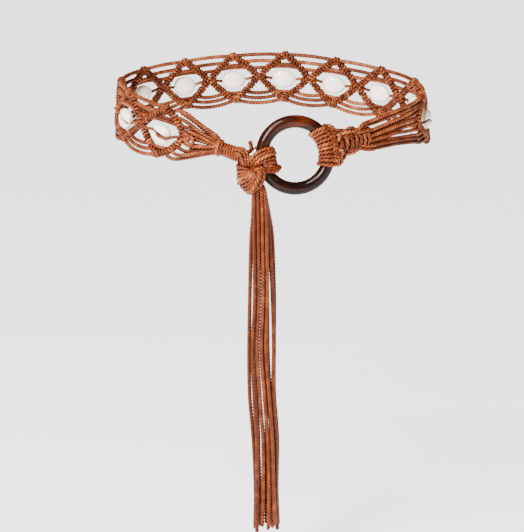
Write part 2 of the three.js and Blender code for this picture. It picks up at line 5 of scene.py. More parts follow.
import bpy
import numpy as np
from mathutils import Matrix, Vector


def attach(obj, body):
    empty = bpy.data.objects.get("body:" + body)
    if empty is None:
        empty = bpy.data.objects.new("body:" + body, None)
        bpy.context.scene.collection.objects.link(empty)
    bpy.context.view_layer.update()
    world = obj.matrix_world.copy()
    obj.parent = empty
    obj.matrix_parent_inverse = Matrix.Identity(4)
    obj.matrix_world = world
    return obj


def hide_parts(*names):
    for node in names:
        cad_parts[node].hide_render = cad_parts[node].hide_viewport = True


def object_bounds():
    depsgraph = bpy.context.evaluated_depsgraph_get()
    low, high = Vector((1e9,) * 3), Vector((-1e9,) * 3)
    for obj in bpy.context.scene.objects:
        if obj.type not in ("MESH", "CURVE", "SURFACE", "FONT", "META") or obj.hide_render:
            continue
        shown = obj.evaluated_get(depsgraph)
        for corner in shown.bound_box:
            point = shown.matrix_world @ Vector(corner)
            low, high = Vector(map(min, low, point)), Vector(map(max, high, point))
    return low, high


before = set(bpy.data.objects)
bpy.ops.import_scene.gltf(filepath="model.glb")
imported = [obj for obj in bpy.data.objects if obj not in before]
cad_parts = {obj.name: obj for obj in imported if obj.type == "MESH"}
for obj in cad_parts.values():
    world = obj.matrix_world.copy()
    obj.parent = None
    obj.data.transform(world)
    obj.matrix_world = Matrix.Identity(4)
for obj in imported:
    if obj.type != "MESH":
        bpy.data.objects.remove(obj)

cad_low, cad_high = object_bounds()
MM = 0.001
dice = random.Random(7)

# Waist loop, in millimetres.
WAIST_WIDTH = 279.0
WAIST_DEPTH = 200.0
WAIST_DIP = 54.0
ORIGIN_RISE_SHARE = 0.685
HIP_LEAN = math.radians(5)
BAND_RISE = {
    "at": [-0.5, -0.374, -0.25, -0.2, -0.168, -0.109, -0.065, -0.032,
           0, 0.026, 0.082, 0.114, 0.194, 0.25, 0.374, 0.5],
    "rise": [1, 0.88, 0.676, 0.583, 0.481, 0.322, 0.189, 0.022,
             0, 0.056, 0.211, 0.317, 0.433, 0.546, 0.815, 1],
}

# Cord: sizes and lay in millimetres, then how much its plies show, as shares, in their depth and in the
# painted shade of their grooves.
CORD_RADIUS = 1.6
FREE_CORD_RADIUS = 1.95
TIGHT_RADIUS = 1.8
STRANDS = 10
GAP = 0.3
LINE_STEP = 1.25
LAY_LENGTH = 9.0
KNOT_LAY = 11.0
FILLING_LAY = 60.0
PLIES = 3
PLY_CORNERS = 6
PLY_DEPTH = 0.28
CREST_POWER = 0.8
GROOVE_SHADE_POWER = 1.6
LOOSE_PLIES = 0.8
KNOT_PLIES = 0.68
HITCH_PLIES = 0.75
CUT_END_REACH = 0.25
CUT_END_SIZE = 0.82
UNWRAP_UNIT = 10.0

# Shade where cords press together: its reach, its softness and its depth.
CROWD_REACH = 1.1
CROWD_FADE = 1.9
CROWD_DEPTH = 0.95
# Painted shade in the plies' grooves: how dark it gets.
GROOVE_SHADE_DEPTH = 0.75
CROWD_BATCH = 2000
OWN_CORD = 99.0

# Ring.
RING_OUTER = 70.0
RING_BAR = 11.35
RING_ALONG = 21.2
RING_STAND_OFF = 3.0
TUBE_RADIUS = RING_BAR / 2
RING_RADIUS = (RING_OUTER - RING_BAR) / 2
RING_STEPS = 160
RING_SIDES = 56

# Net.
DIAMONDS = 11
NET_START = 152.4
NET_END = -78.4
NET_HALF = 21.0
UPPER_SLACK = 0.6
LOWER_SLACK = 4.5
BAR_RADIUS = 2.9
BAR_BOW = 1.2
LAST_BAR_BOW = 3.0
BAR_CORE_RADIUS = 1.7
WRAP_INSET = 0.75
WRAP_DEPTH = 2.1
WRAP_LEANS = (0.95, 0.5)
WRAP_LAY = LAY_LENGTH * 0.8
WRAP_STEP = 1.0
WRAP_TURN = np.linspace(-0.5 * math.pi, 1.5 * math.pi, 11)
CORNER_SHIFTS = (-2.2, 0.6)
ARCS = 3
ARC_SHARES = (-1.06, -0.8, -0.5, -0.2, 0.2, 0.5, 0.8, 1.06)
CRADLE_LIFTS = {1: (0.4, 3.6), -1: (0.4,)}
CRADLE_SHARES = (-1, -0.5, 0, 0.5, 1)

# Cowries, and the strand over each one.
SHELL_LENGTH = 22.4
SHELL_WIDTH = 17.6
SHELL_THICK = 10.4
SHELL_OUT = 1.4
SHELL_DROP = 2.5
SHELL_TILT = {9: math.radians(14), 10: math.radians(12)}
SHELL_ROWS = 60
SHELL_AROUND = 72
BLUNT_END = 0.44
NARROW_END = 0.6
SLIT_HALF = 1.3
SLIT_DEPTH = 3.2
LIP_PLACE = 1.9
LIP_HALF = 0.9
LIP_RISE = 0.25
TOOTH_PITCH = 1.35
TOOTH_DEPTH = 0.35
THREAD_RADIUS = 1.5
THREAD_SINK = 4.8
THREAD_REST = 0.3
THREAD_LIFT = {0: -3.8, 1: -1.6, 8: -3.8, 9: -3.8}

# Neck.
NECK_ALONG = -45.9
NECK_SMALL = 12.5
NECK_LARGE = 14.0
NECK_TURNS = 10
NECK_END = (-45.6, -0.6, -5.0)
WOUND_RADIUS = 1.15
WOUND_LAY = 26.0
WOUND_STEP = 1.1
COLLAR_REACH = 6.2
COLLAR_SHIFTS = (-1.6, 1.4)

# Hitches on the ring.
HITCH_WRAPS = 10
HITCH_FROM = math.radians(-16.9)
HITCH_TO = math.radians(48.5)
HITCH_LEVEL = math.radians(15.6)
HITCH_SPREAD = 0.14
HITCH_HOOK = 0.27
HITCH_RADIUS = 1.75
HITCH_TURN = np.linspace(-0.02 * math.pi, 1.98 * math.pi, 21)
FILLER_RADIUS = 1.5
FILLER_SINK = 1.3
BUMP_START = 0.05
BUMP_SPACING = 0.8
BUMP_ALONG = np.array([-0.35, 0.1, 0.5, 0.9, 1.25])
BUMP_TURN = np.array([0.34, 0.2, 0.13, 0.2, 0.34]) * math.pi
BUMP_LIFT = np.array([0, 1.3, 1.9, 1.3, 0])

# Flat knots and fans. A search is the stretch of band that a seen point may lie on.
FLAT_START = 60.6
FLAT_END = 89.0
FLAT_HALF = 9.6
STRAND_RADIUS = 1.9
FLAT_KNOT_LAY = 12.0
FLAT_CORES = 6
FLAT_CORE_PITCH = 2.5
FLAT_TURNS = 8
FLAT_TURN = np.linspace(-0.5, 1, 15) * 2 * math.pi / 1.5
FLAT_SEARCH = (48, 110)
FAN_LEFT_SEARCH = (-125, -30)
FAN_LEFT_LIFTS = (1.6, -1.4)
FAN_LOOP_RADIUS = 1.75
FAN_BACK_STRANDS = 5
FAN_BACK_PITCH = 2.2
FAN_RIGHT_SEARCH = (70, 168)
FAN_RIGHT_LIFTS = (1.5, -1.2)
FAN_RIGHT_RADIUS = 1.85

# Ring knot and fringe.
KNOT_DROP = 31.0
FROM_NECK_RADIUS = 1.85
OVER_RING_RADIUS = 1.82
FRONT_RADIUS = 2.4
FRONT_LIFT = 1.4
FRINGE_LENGTH = 306.0
FRINGE_BREADTH = 26.0
FRINGE_LAYERS = [1, 0, 0, 0, 0, 1, 2, 1, 2, 2]
FRINGE_TRIM = [3, 0, 5, 2, 6, 1, 4, 7, 2, 5]
LAYER_PITCH = 3.5
FRINGE_STEP = 2.0
FRINGE_LEFT = -41.5
FRINGE_OUT = 5.0
HEAD_LEFT = -40.5
HEAD_RISE = 9.0
HEAD_OUT = 3.5
HEAD_BREADTH = 15.0
HEAD_LAYERS = 0.4
FRINGE_ROWS = [
    (0.0, [0.16, 0.17, 0.29, 0.41, 0.52, 0.53, 0.23, 0.34, 0.4, 0.5]),
    (0.08, [0.13, 0.18, 0.31, 0.45, 0.59, 0.66, 0.22, 0.38, 0.46, 0.7]),
    (0.15, [0.07, 0.18, 0.32, 0.46, 0.6, 0.7, 0.2, 0.42, 0.5, 0.8]),
    (0.31, [0.03, 0.2, 0.34, 0.48, 0.62, 0.8, 0.22, 0.5, 0.62, 0.86]),
    (0.46, [0, 0.12, 0.28, 0.42, 0.57, 0.84, 0.2, 0.5, 0.64, 0.86]),
    (0.6, [0.02, 0.18, 0.37, 0.53, 0.67, 0.82, 0.26, 0.58, 0.7, 0.86]),
    (0.74, [0.15, 0.27, 0.48, 0.64, 0.79, 0.92, 0.32, 0.6, 0.76, 0.97]),
    (0.89, [0.22, 0.27, 0.49, 0.68, 0.84, 0.92, 0.36, 0.6, 0.78, 0.95]),
    (1.0, [0.2, 0.27, 0.45, 0.66, 0.9, 0.97, 0.38, 0.6, 0.8, 1]),
]


def unit(vector):
    return vector / np.linalg.norm(vector, axis=-1, keepdims=True)


# The band's middle line and its directions.
LOOP_ANGLES = np.linspace(0, 2 * math.pi, 1441)
LOOP_PACE = np.hypot(WAIST_WIDTH / 2 * np.cos(LOOP_ANGLES), WAIST_DEPTH / 2 * np.sin(LOOP_ANGLES))
LOOP_STEPS = (LOOP_PACE[1:] + LOOP_PACE[:-1]) / 2 * np.diff(LOOP_ANGLES)
LOOP_LENGTHS = np.concatenate([[0], np.cumsum(LOOP_STEPS)])
LOOP = LOOP_LENGTHS[-1]
NET_PITCH = (LOOP + NET_END - NET_START) / DIAMONDS


def band_height(along):
    """Height of the band's middle, from a smooth cubic through the table's rows."""
    at = np.array(BAND_RISE["at"])
    rise = np.array(BAND_RISE["rise"])
    slope = np.zeros(len(at))
    slope[1:-1] = (rise[2:] - rise[:-2]) / (at[2:] - at[:-2])
    share = np.mod(np.asarray(along, float) / LOOP + 0.5, 1.0) - 0.5
    row = np.clip(np.searchsorted(at, share, side="right") - 1, 0, len(at) - 2)
    span = at[row + 1] - at[row]
    t = (share - at[row]) / span
    values = (2 * t**3 - 3 * t**2 + 1) * rise[row] + (3 * t**2 - 2 * t**3) * rise[row + 1]
    pulls = (t**3 - 2 * t**2 + t) * slope[row] + (t**3 - t**2) * slope[row + 1]
    return (values + pulls * span - ORIGIN_RISE_SHARE) * WAIST_DIP


def band_frame(along):
    """The band's middle and its directions at a place or places along it."""
    along = np.asarray(along, float)
    angle = np.interp(np.mod(along, LOOP), LOOP_LENGTHS, LOOP_ANGLES)
    flat = np.zeros(along.shape)
    origin = np.stack(
        [WAIST_WIDTH / 2 * np.sin(angle), -WAIST_DEPTH / 2 * np.cos(angle), band_height(along)], -1
    )
    level = unit(np.stack([WAIST_WIDTH * np.cos(angle), WAIST_DEPTH * np.sin(angle), flat], -1))
    tipped = level * math.cos(HIP_LEAN)
    lean = np.stack([tipped[..., 1], -tipped[..., 0], flat + math.sin(HIP_LEAN)], -1)
    climb = band_height(along + 0.5) - band_height(along - 0.5)
    forward = unit(level + np.stack([flat, flat, climb], -1))
    up = unit(np.cross(lean, forward))
    out = np.cross(forward, up)
    return {"origin": origin, "forward": forward, "up": up, "out": out, "level": level, "lean": lean}


def on_band(along, up, out):
    """A place up from the band's middle and out from the waist."""
    here = band_frame(along)
    up = np.asarray(up, float)[..., None]
    out = np.asarray(out, float)[..., None]
    return here["origin"] + here["up"] * up + here["out"] * out


def chart(points):
    """Band points from a list of (along, up, out)."""
    points = np.array(points, float)
    return on_band(points[:, 0], points[:, 1], points[:, 2])


# The ring's own frame.
RING_BAND = band_frame(RING_ALONG)
RING_RIGHT = RING_BAND["level"]
RING_OUT = RING_BAND["lean"]
RING_UP = np.cross(RING_OUT, RING_RIGHT)
RING_CENTRE = RING_BAND["origin"] + RING_OUT * RING_STAND_OFF


def on_ring(points):
    """Points from a list of (right, up, out) about the ring's centre."""
    points = np.atleast_2d(np.array(points, float))
    turned = points[:, :1] * RING_RIGHT + points[:, 1:2] * RING_UP + points[:, 2:3] * RING_OUT
    return RING_CENTRE + turned


def round_ring(ring_angle, turn, distance):
    """A point round the ring's bar; turn 0 faces out of the ring and a quarter turn faces the front."""
    radius = RING_RADIUS + distance * np.cos(turn)
    return np.stack([radius * np.cos(ring_angle), radius * np.sin(ring_angle), distance * np.sin(turn)], -1)


# The photograph's camera, 2.2 m from the ring and looking slightly down at it.
PHOTO_WIDTH, PHOTO_HEIGHT = 524, 532
MM_PER_PIXEL = 0.875
RING_PIXEL = (295.5, 154.9)
VIEW_DISTANCE = 2200.0
VIEW_DOWN = math.radians(7)
FOCAL = VIEW_DISTANCE / MM_PER_PIXEL
YAW = math.atan((RING_PIXEL[0] - PHOTO_WIDTH / 2) / FOCAL)
PITCH = VIEW_DOWN + math.atan((PHOTO_HEIGHT / 2 - RING_PIXEL[1]) / FOCAL)
CAMERA_PLACE = RING_CENTRE - VIEW_DISTANCE * np.array([0, math.cos(VIEW_DOWN), -math.sin(VIEW_DOWN)])
LEVEL_AHEAD = np.array([-math.sin(YAW), math.cos(YAW), 0])
CAMERA_AHEAD = LEVEL_AHEAD * math.cos(PITCH) - np.array([0, 0, math.sin(PITCH)])
CAMERA_RIGHT = np.array([math.cos(YAW), math.sin(YAW), 0])
CAMERA_UP = np.cross(CAMERA_RIGHT, CAMERA_AHEAD)


def line_of_sight(x, y):
    """Direction from the camera through a pixel of the photograph."""
    aside = CAMERA_RIGHT * (x - PHOTO_WIDTH / 2)
    return unit(CAMERA_AHEAD * FOCAL + aside + CAMERA_UP * (PHOTO_HEIGHT / 2 - y))


def seen_on_ring(points):
    """Points seen at (pixel right, pixel down), each some millimetres in front of the ring's plane."""
    places = []
    for x, y, out in points:
        sight = line_of_sight(x, y)
        reach = np.dot(RING_CENTRE + RING_OUT * out - CAMERA_PLACE, RING_OUT) / np.dot(sight, RING_OUT)
        places.append(CAMERA_PLACE + sight * reach)
    return np.array(places)


def seen_on_band(points, first, last):
    """Chart points (along, up, out) of what is seen at (pixel right, pixel down) on the band."""
    along = np.linspace(first, last, 400)
    here = band_frame(along)
    places = []
    for x, y, out in points:
        sight = line_of_sight(x, y)
        centre = here["origin"] + here["out"] * out
        reach = np.sum((centre - CAMERA_PLACE) * here["out"], -1) / (here["out"] @ sight)
        offset = CAMERA_PLACE + reach[:, None] * sight - centre
        ahead = np.sum(offset * here["forward"], -1)
        nearest = int(np.argmin(np.abs(ahead)))
        up = float(np.dot(offset[nearest], here["up"][nearest]))
        places.append((float(along[nearest]), up, out))
    return places


# Smooth lines and laid rope.
def travel(line):
    """The distance from a line's start to each of its points."""
    return np.concatenate([[0], np.cumsum(np.linalg.norm(np.diff(line, axis=0), axis=1))])


def smooth_line(points, step):
    """An evenly stepped smooth line through the points."""
    points = np.array(points, float)
    padded = np.vstack([2 * points[0] - points[1], points, 2 * points[-1] - points[-2]])
    fine = []
    for index in range(1, len(padded) - 2):
        a, b, c, d = padded[index - 1:index + 3]
        pieces = max(2, int(np.linalg.norm(c - b) / step) * 2)
        t = np.linspace(0, 1, pieces, endpoint=False)[:, None]
        fine.append(0.5 * (2 * b + (c - a) * t + (2 * a - 5 * b + 4 * c - d) * t**2
                           + (3 * b - 3 * c + d - a) * t**3))
    fine = np.vstack(fine + [points[-1:]])
    travelled = travel(fine)
    count = max(3, int(round(travelled[-1] / step)) + 1)
    even = np.linspace(0, travelled[-1], count)
    return np.stack([np.interp(even, travelled, fine[:, axis]) for axis in range(3)], -1)


def carried_frames(line):
    """Two directions across a line that turn as little as they can along it."""
    ahead = unit(np.gradient(line, axis=0))
    start = np.array([0.0, 0.0, 1.0]) if abs(ahead[0][2]) < 0.9 else np.array([1.0, 0.0, 0.0])
    side = unit(np.cross(ahead[0], start))
    sides = [side]
    for direction in ahead[1:]:
        side = unit(side - direction * np.dot(side, direction))
        sides.append(side)
    sides = np.array(sides)
    return sides, np.cross(ahead, sides)


def ply_section(plies):
    """Each corner of a laid rope: its share of the radius, how much painted shade its groove gets and its
    angle.
    """
    around = np.arange(PLIES * PLY_CORNERS) * 2 * math.pi / (PLIES * PLY_CORNERS)
    crest = np.abs(np.cos(PLIES / 2 * around))
    return 1 - PLY_DEPTH * plies * (1 - crest ** CREST_POWER), plies * (1 - crest ** GROOVE_SHADE_POWER), around


def crowding(ropes, centres, owners, reach):
    """How far each surface point is pressed under another rope, from 0 to 1."""
    shares = np.zeros(len(ropes["place"]))
    probes = ropes["place"] + ropes["outward"] * CROWD_REACH
    for first in range(0, len(shares), CROWD_BATCH):
        here = slice(first, first + CROWD_BATCH)
        away = np.linalg.norm(probes[here, None, :] - centres[None, :, :], axis=2) - reach[None, :]
        away[ropes["owner"][here, None] == owners[None, :]] = OWN_CORD
        shares[here] = np.clip((CROWD_FADE / 2 - away.min(axis=1)) / CROWD_FADE, 0, 1)
    return shares


def shaded_hollow(ropes, beside):
    """Painted shade in the plies' grooves, with painted shade added where ropes press together."""
    centres = np.vstack([ropes["line"], beside])
    owners = np.append(ropes["line_owner"], np.full(len(beside), -1))
    reach = np.append(ropes["reach"], np.full(len(beside), FREE_CORD_RADIUS))
    pressed = crowding(ropes, centres, owners, reach)
    return 1 - (1 - GROOVE_SHADE_DEPTH * ropes["hollow"]) * (1 - CROWD_DEPTH * pressed)


def tube_faces(rings, corners, first):
    """Quads along a tube and a face at each end, with its points numbered from first."""
    rows = np.arange(rings - 1)[:, None] * corners
    here = np.arange(corners)[None, :]
    beside = (here + 1) % corners
    quads = np.stack([rows + here, rows + beside, rows + beside + corners, rows + here + corners], -1)
    start = first + np.arange(corners)[::-1]
    end = first + (rings - 1) * corners + np.arange(corners)
    return (quads.reshape(-1, 4) + first).tolist() + [start.tolist(), end.tolist()]


def smooth_mesh(name, points, faces):
    """A smoothly shaded mesh from points in millimetres."""
    mesh = bpy.data.meshes.new(name)
    mesh.from_pydata((points * MM).tolist(), [], faces)
    mesh.polygons.foreach_set("use_smooth", [True] * len(mesh.polygons))
    return mesh


def store(mesh, name, values):
    """A value at each vertex, which a material reads."""
    attribute = mesh.attributes.new(name, "FLOAT", "POINT")
    attribute.data.foreach_set("value", np.ravel(values))


class Cords:
    """Ropes in one mesh, and the lines of ropes beside it that shade them."""

    def __init__(self, beside=()):
        self.beside = beside
        self.ropes = []
        self.faces = []
        self.count = 0

    def add(self, points, radius=CORD_RADIUS, lay=LAY_LENGTH, step=LINE_STEP, plies=LOOSE_PLIES, cut=False):
        """One more rope along the points; a cut one ends in a small face."""
        line = smooth_line(points, step)
        sides, tops = carried_frames(line)
        # The plies' shape, and the painted shade of their grooves.
        share, hollow, around = ply_section(plies)
        travelled = travel(line)
        turn = dice.random() * 2 * math.pi - travelled * 2 * math.pi / lay
        angle = (around[None, :] + turn[:, None])[..., None]
        across = np.cos(angle) * sides[:, None, :] + np.sin(angle) * tops[:, None, :]
        ring = line[:, None, :] + (share * radius)[None, :, None] * across
        if cut:
            middle = line[-1] + unit(line[-1] - line[-2]) * radius * CUT_END_REACH
            ring[-1] = middle + (ring[-1] - line[-1]) * CUT_END_SIZE
        rows, corners, owner = len(line), len(around), len(self.ropes)
        self.ropes.append({
            "line": line, "reach": np.full(rows, radius), "line_owner": np.full(rows, owner),
            "place": ring.reshape(-1, 3), "outward": unit(ring - line[:, None, :]).reshape(-1, 3),
            "owner": np.full(rows * corners, owner), "hollow": np.tile(hollow, rows),
            "unwrap": np.stack([np.tile(around * radius, rows), np.repeat(travelled, corners)], -1),
            "tone": np.full(rows * corners, dice.random()),
        })
        self.faces.extend(tube_faces(rows, corners, self.count))
        self.count += rows * corners

    def build(self, name, *nodes):
        whole = {key: np.concatenate([rope[key] for rope in self.ropes]) for key in self.ropes[0]}
        mesh = smooth_mesh(name, whole["place"], self.faces)
        # Painted shade of the grooves and of the places where ropes press together, for the cord material.
        store(mesh, "hollow", shaded_hollow(whole, np.concatenate([np.empty((0, 3)), *self.beside])))
        store(mesh, "tone", whole["tone"])
        layer = mesh.uv_layers.new(name="Along")
        corners = np.empty(len(mesh.loops), dtype=np.int32)
        mesh.loops.foreach_get("vertex_index", corners)
        layer.data.foreach_set("uv", (whole["unwrap"][corners] / UNWRAP_UNIT).ravel())
        mesh.update()
        return finish_piece(name, mesh, CORD, nodes)


def show(name, data):
    shown = bpy.data.objects.new(name, data)
    bpy.context.scene.collection.objects.link(shown)
    return shown


def finish_piece(name, mesh, material, nodes):
    piece = show(name, mesh)
    mesh.materials.append(material)
    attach(piece, "root")
    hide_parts(*nodes)
    return piece


# Materials.
def new_material(name):
    material = bpy.data.materials.new(name)
    material.use_nodes = True
    return material, material.node_tree, material.node_tree.nodes["Principled BSDF"]


def feed(tree, node, inputs):
    """Set each input to a value, or link it to another node's output."""
    for name, value in inputs.items():
        if isinstance(value, bpy.types.NodeSocket):
            tree.links.new(value, node.inputs[name])
        else:
            node.inputs[name].default_value = value
    return node


def add_node(tree, kind, inputs):
    return feed(tree, tree.nodes.new(kind), inputs)


def mesh_value(tree, name):
    """A value stored at the mesh's vertices."""
    reader = tree.nodes.new("ShaderNodeAttribute")
    reader.attribute_name = name
    return reader.outputs["Fac"]


def noise(tree, inputs):
    return add_node(tree, "ShaderNodeTexNoise", inputs).outputs["Fac"]


def stretched(tree, inputs):
    return add_node(tree, "ShaderNodeMapping", inputs).outputs["Vector"]


def multiply_add(tree, value, factor, added):
    """The value times a factor, plus a number or another node's output."""
    total = tree.nodes.new("ShaderNodeMath")
    total.operation = "MULTIPLY_ADD"
    return feed(tree, total, {0: value, 1: factor, 2: added}).outputs["Value"]


def colour_steps(tree, share, steps):
    """A ramp over a list of (share, colour)."""
    ramp = add_node(tree, "ShaderNodeValToRGB", {"Fac": share})
    elements = ramp.color_ramp.elements
    elements[0].position = steps[0][0]
    elements[0].color = (*steps[0][1], 1)
    elements[1].position = steps[-1][0]
    elements[1].color = (*steps[-1][1], 1)
    for position, colour in steps[1:-1]:
        element = elements.new(position)
        element.color = (*colour, 1)
    return ramp.outputs["Color"]


def blended(tree, way, share, colour, other):
    """The colour mixed with, or multiplied by, another one by a share."""
    mix = tree.nodes.new("ShaderNodeMix")
    mix.data_type = "RGBA"
    mix.blend_type = way
    return feed(tree, mix, {"Factor": share, "A": colour, "B": (*other, 1)}).outputs["Result"]


CORD_COLOURS = [
    (0.25, (0.034, 0.005, 0.0012)), (0.48, (0.12, 0.0185, 0.0036)), (0.62, (0.235, 0.045, 0.01)),
    (0.8, (0.52, 0.16, 0.052)),
]
# Painted shade colour, multiplied in at the plies' grooves and where cords press together.
CORD_SHADE_COLOUR = (0.07, 0.03, 0.02)
WOOD_COLOURS = [
    (0.25, (0.004, 0.0007, 0.0002)), (0.48, (0.035, 0.0045, 0.0005)), (0.75, (0.22, 0.028, 0.002)),
]
# The shell ramp turns yellower and darker with painted shade toward the shell's sides and ends; the slit
# colour is painted shade.
SHELL_COLOURS = [(0.12, (0.97, 0.92, 0.82)), (0.6, (0.92, 0.75, 0.52)), (1.0, (0.66, 0.42, 0.2))]
SLIT_SHADE_COLOUR = (0.03, 0.015, 0.01)


def cord_material():
    """Waxed cord: painted shade in the grooves between plies and where cords press together, with fine
    fibres along each ply.
    """
    material, tree, shader = new_material("waxed_cord")
    place = tree.nodes.new("ShaderNodeTexCoord")
    # Painted shade: ramp and colour darken in the plies' grooves and where cords press together, so the
    # crests show lighter.
    hollow = mesh_value(tree, "hollow")
    patches = noise(tree, {"Vector": place.outputs["Object"], "Scale": 160, "Detail": 3})
    lengthways = stretched(tree, {"Vector": place.outputs["UV"], "Scale": (14, 1.6, 1)})
    fibres = noise(tree, {"Vector": lengthways, "Scale": 3.0, "Detail": 4})
    share = multiply_add(tree, mesh_value(tree, "tone"), 0.22, 0.1)
    share = multiply_add(tree, patches, 0.55, share)
    share = multiply_add(tree, fibres, 0.25, share)
    share = multiply_add(tree, hollow, -0.22, share)
    colour = colour_steps(tree, share, CORD_COLOURS)
    bump = add_node(tree, "ShaderNodeBump", {"Height": fibres, "Strength": 0.35, "Distance": 0.0003})
    feed(tree, shader, {
        "Base Color": blended(tree, "MULTIPLY", hollow, colour, CORD_SHADE_COLOUR),
        "Normal": bump.outputs["Normal"], "Roughness": 0.3,
        "Specular IOR Level": 0.22, "Specular Tint": (1, 0.8, 0.62, 1),
    })
    return material


def wood_material():
    """Dark red-brown wood under varnish, with its grain nearly level and its lower side darker."""
    material, tree, shader = new_material("varnished_wood")
    place = tree.nodes.new("ShaderNodeTexCoord").outputs["Object"]
    level = stretched(tree, {"Vector": place, "Scale": (30, 170, 170), "Rotation": (0, 0.12, 0)})
    grain = noise(tree, {"Vector": level, "Scale": 1.0, "Detail": 6, "Roughness": 0.6, "Distortion": 0.4})
    height = add_node(tree, "ShaderNodeSeparateXYZ", {"Vector": place}).outputs["Z"]
    half = RING_OUTER / 2 * MM
    rise = add_node(tree, "ShaderNodeMapRange", {
        "Value": height, "From Min": -half, "From Max": half, "To Min": -0.24, "To Max": 0.12,
    })
    share = multiply_add(tree, grain, 1.0, rise.outputs["Result"])
    feed(tree, shader, {
        "Base Color": colour_steps(tree, share, WOOD_COLOURS), "Roughness": 0.35,
        "Specular IOR Level": 0.05, "Coat Weight": 0.24, "Coat Roughness": 0.05,
    })
    return material


def shell_material():
    """Ivory shell with painted shade that turns its sides and ends yellower and darker, and painted shade
    that darkens its slit.
    """
    material, tree, shader = new_material("cowrie_shell")
    place = tree.nodes.new("ShaderNodeTexCoord").outputs["Object"]
    clouds = noise(tree, {"Vector": place, "Scale": 110, "Detail": 3})
    # Painted shade: yellower and darker toward the sides and ends, and dark in the slit.
    share = multiply_add(tree, clouds, 0.3, mesh_value(tree, "painted_edge_shade"))
    colour = colour_steps(tree, share, SHELL_COLOURS)
    feed(tree, shader, {
        "Base Color": blended(tree, "MIX", mesh_value(tree, "slit"), colour, SLIT_SHADE_COLOUR),
        "Roughness": 0.22, "Coat Weight": 0.6, "Coat Roughness": 0.08,
        "Subsurface Weight": 0.12, "Subsurface Scale": 0.002,
    })
    return material


CORD = cord_material()
WOOD = wood_material()
SHELL = shell_material()


# Ring.
def make_ring():
    ring_angle = np.arange(RING_STEPS) * 2 * math.pi / RING_STEPS
    turn = np.arange(RING_SIDES) * 2 * math.pi / RING_SIDES
    angles, turns = np.meshgrid(ring_angle, turn, indexing="ij")
    points = on_ring(round_ring(angles.ravel(), turns.ravel(), TUBE_RADIUS))
    here = np.arange(RING_STEPS * RING_SIDES).reshape(RING_STEPS, RING_SIDES)
    ahead = np.roll(here, -1, axis=0)
    faces = np.stack([here, ahead, np.roll(ahead, -1, axis=1), np.roll(here, -1, axis=1)], -1)
    mesh = smooth_mesh("wooden_ring", points, faces.reshape(-1, 4).tolist())
    finish_piece("wooden_ring", mesh, WOOD, ["ring"])


# Hitches and flat knots. Strands are lists of (pixel right, pixel down, millimetres out).
BIGHTS_ON_RING = [
    [(325.1, 127.4, 1), (328.2, 125.9, 5), (331.4, 126.6, 6.5), (333.6, 128.8, 6), (335.6, 131.4, 4),
     (336, 134, 1)],
    [(329.3, 128.6, 5), (331.6, 130.4, 6.5), (333.8, 132.4, 6), (335.6, 134.6, 3)],
    [(335.4, 133.6, 2), (338, 134.7, 4.5), (339.4, 137.3, 5.5), (338.2, 140.5, 5), (336.2, 141.6, 3)],
    [(339.2, 139.6, 2), (341.6, 141.4, 3), (342.1, 144.5, 3.5), (340.9, 147.6, 3.5), (339, 149.2, 3)],
    [(337, 150.6, 4), (339.8, 149.6, 5), (342.1, 150.9, 4), (342.5, 153.7, 3), (340.5, 155.4, 3)],
    [(339.4, 156.6, 3), (341.6, 158.6, 3), (341.8, 161.6, 2), (339.6, 163.9, 1), (337.4, 165, -1)],
    [(344.3, 153, -1), (345.4, 155.2, -1), (344, 157.6, -1), (342.3, 159.6, -1)],
]
FLAT_KNOT_STRANDS = [
    [(336.5, 130.4, 4), (339.8, 130.4, 4.4), (343.4, 130.6, 4), (347, 131.6, 3)],
    [(339, 134.2, 4), (343.4, 133.1, 5), (347.9, 132.2, 5), (352.6, 131.5, 3.6)],
    [(341.4, 136.8, 3.6), (347, 136, 4.6), (351.4, 135.6, 4.4), (354.2, 137, 2.6)],
    [(346.6, 132.4, 1), (347.9, 129, 3), (350.8, 127.9, 3.6), (353.8, 128.6, 3), (355.2, 131.4, 1.6)],
    [(345, 131.8, 1), (349.5, 130.2, 2), (355, 129.8, 2), (359, 130.6, 1)],
    [(341.8, 138.2, 2), (345.8, 138.4, 4.2), (347.4, 142.4, 4.8), (346.6, 147.4, 4.2), (343.6, 151, 2)],
    [(342.4, 142.6, 2), (343.6, 146.4, 3.4), (343.8, 150.6, 3), (342.2, 154, 1)],
    [(347.6, 139, 2), (351.4, 137.6, 4.4), (353, 142, 4.8), (352.6, 146.6, 4.2), (349.4, 149.2, 2.4)],
    [(353.6, 135.6, 2.4), (356.6, 136, 4.4), (357, 140.6, 4.8), (356.2, 145.4, 3.8), (353.6, 147.4, 2.2)],
    [(357.4, 135, 2.6), (360.4, 136, 4.6), (361.4, 139.6, 4.8), (360.2, 143.8, 4), (357.6, 146, 2.4)],
    [(361.6, 133.6, 2.4), (364.2, 135.6, 4.2), (365.2, 139.2, 4.6), (364.8, 143, 3.6), (362.6, 145, 2)],
    [(364.6, 132.6, 2.2), (368.4, 134.8, 4), (369.6, 138.8, 4.4), (368.4, 143, 3.4), (365.6, 144.6, 2)],
    [(344.8, 150, 1.6), (348.8, 150.5, 3.6), (352.3, 149.9, 4), (355.9, 148.1, 4), (359.2, 146, 3)],
    [(345, 153.4, 1), (350.6, 153.2, 2.6), (354.3, 151.8, 3.2), (357.7, 149.5, 3.4), (360.6, 146.8, 2.4)],
    [(352.4, 131.6, 4), (357, 130.6, 4.2), (359.9, 127.6, 3.4), (362.6, 124.5, 2.8), (366.6, 122.2, 2.2)],
    [(355.2, 134, 3.4), (358.8, 132.6, 4.6), (363.4, 131.2, 4.4), (368.4, 130.2, 3.4), (371, 130, 2)],
    [(353.4, 134.6, 3), (357, 129.8, 2), (362, 128, 2), (368, 125, 1.6)],
    [(360.6, 144.6, 3), (364.8, 145.9, 3.6), (368.9, 145.9, 3), (374, 145.2, 1.8)],
    [(359.6, 148, 2.4), (364.8, 149, 2.8), (368.9, 149.5, 2.4), (374, 149, 1.4)],
]


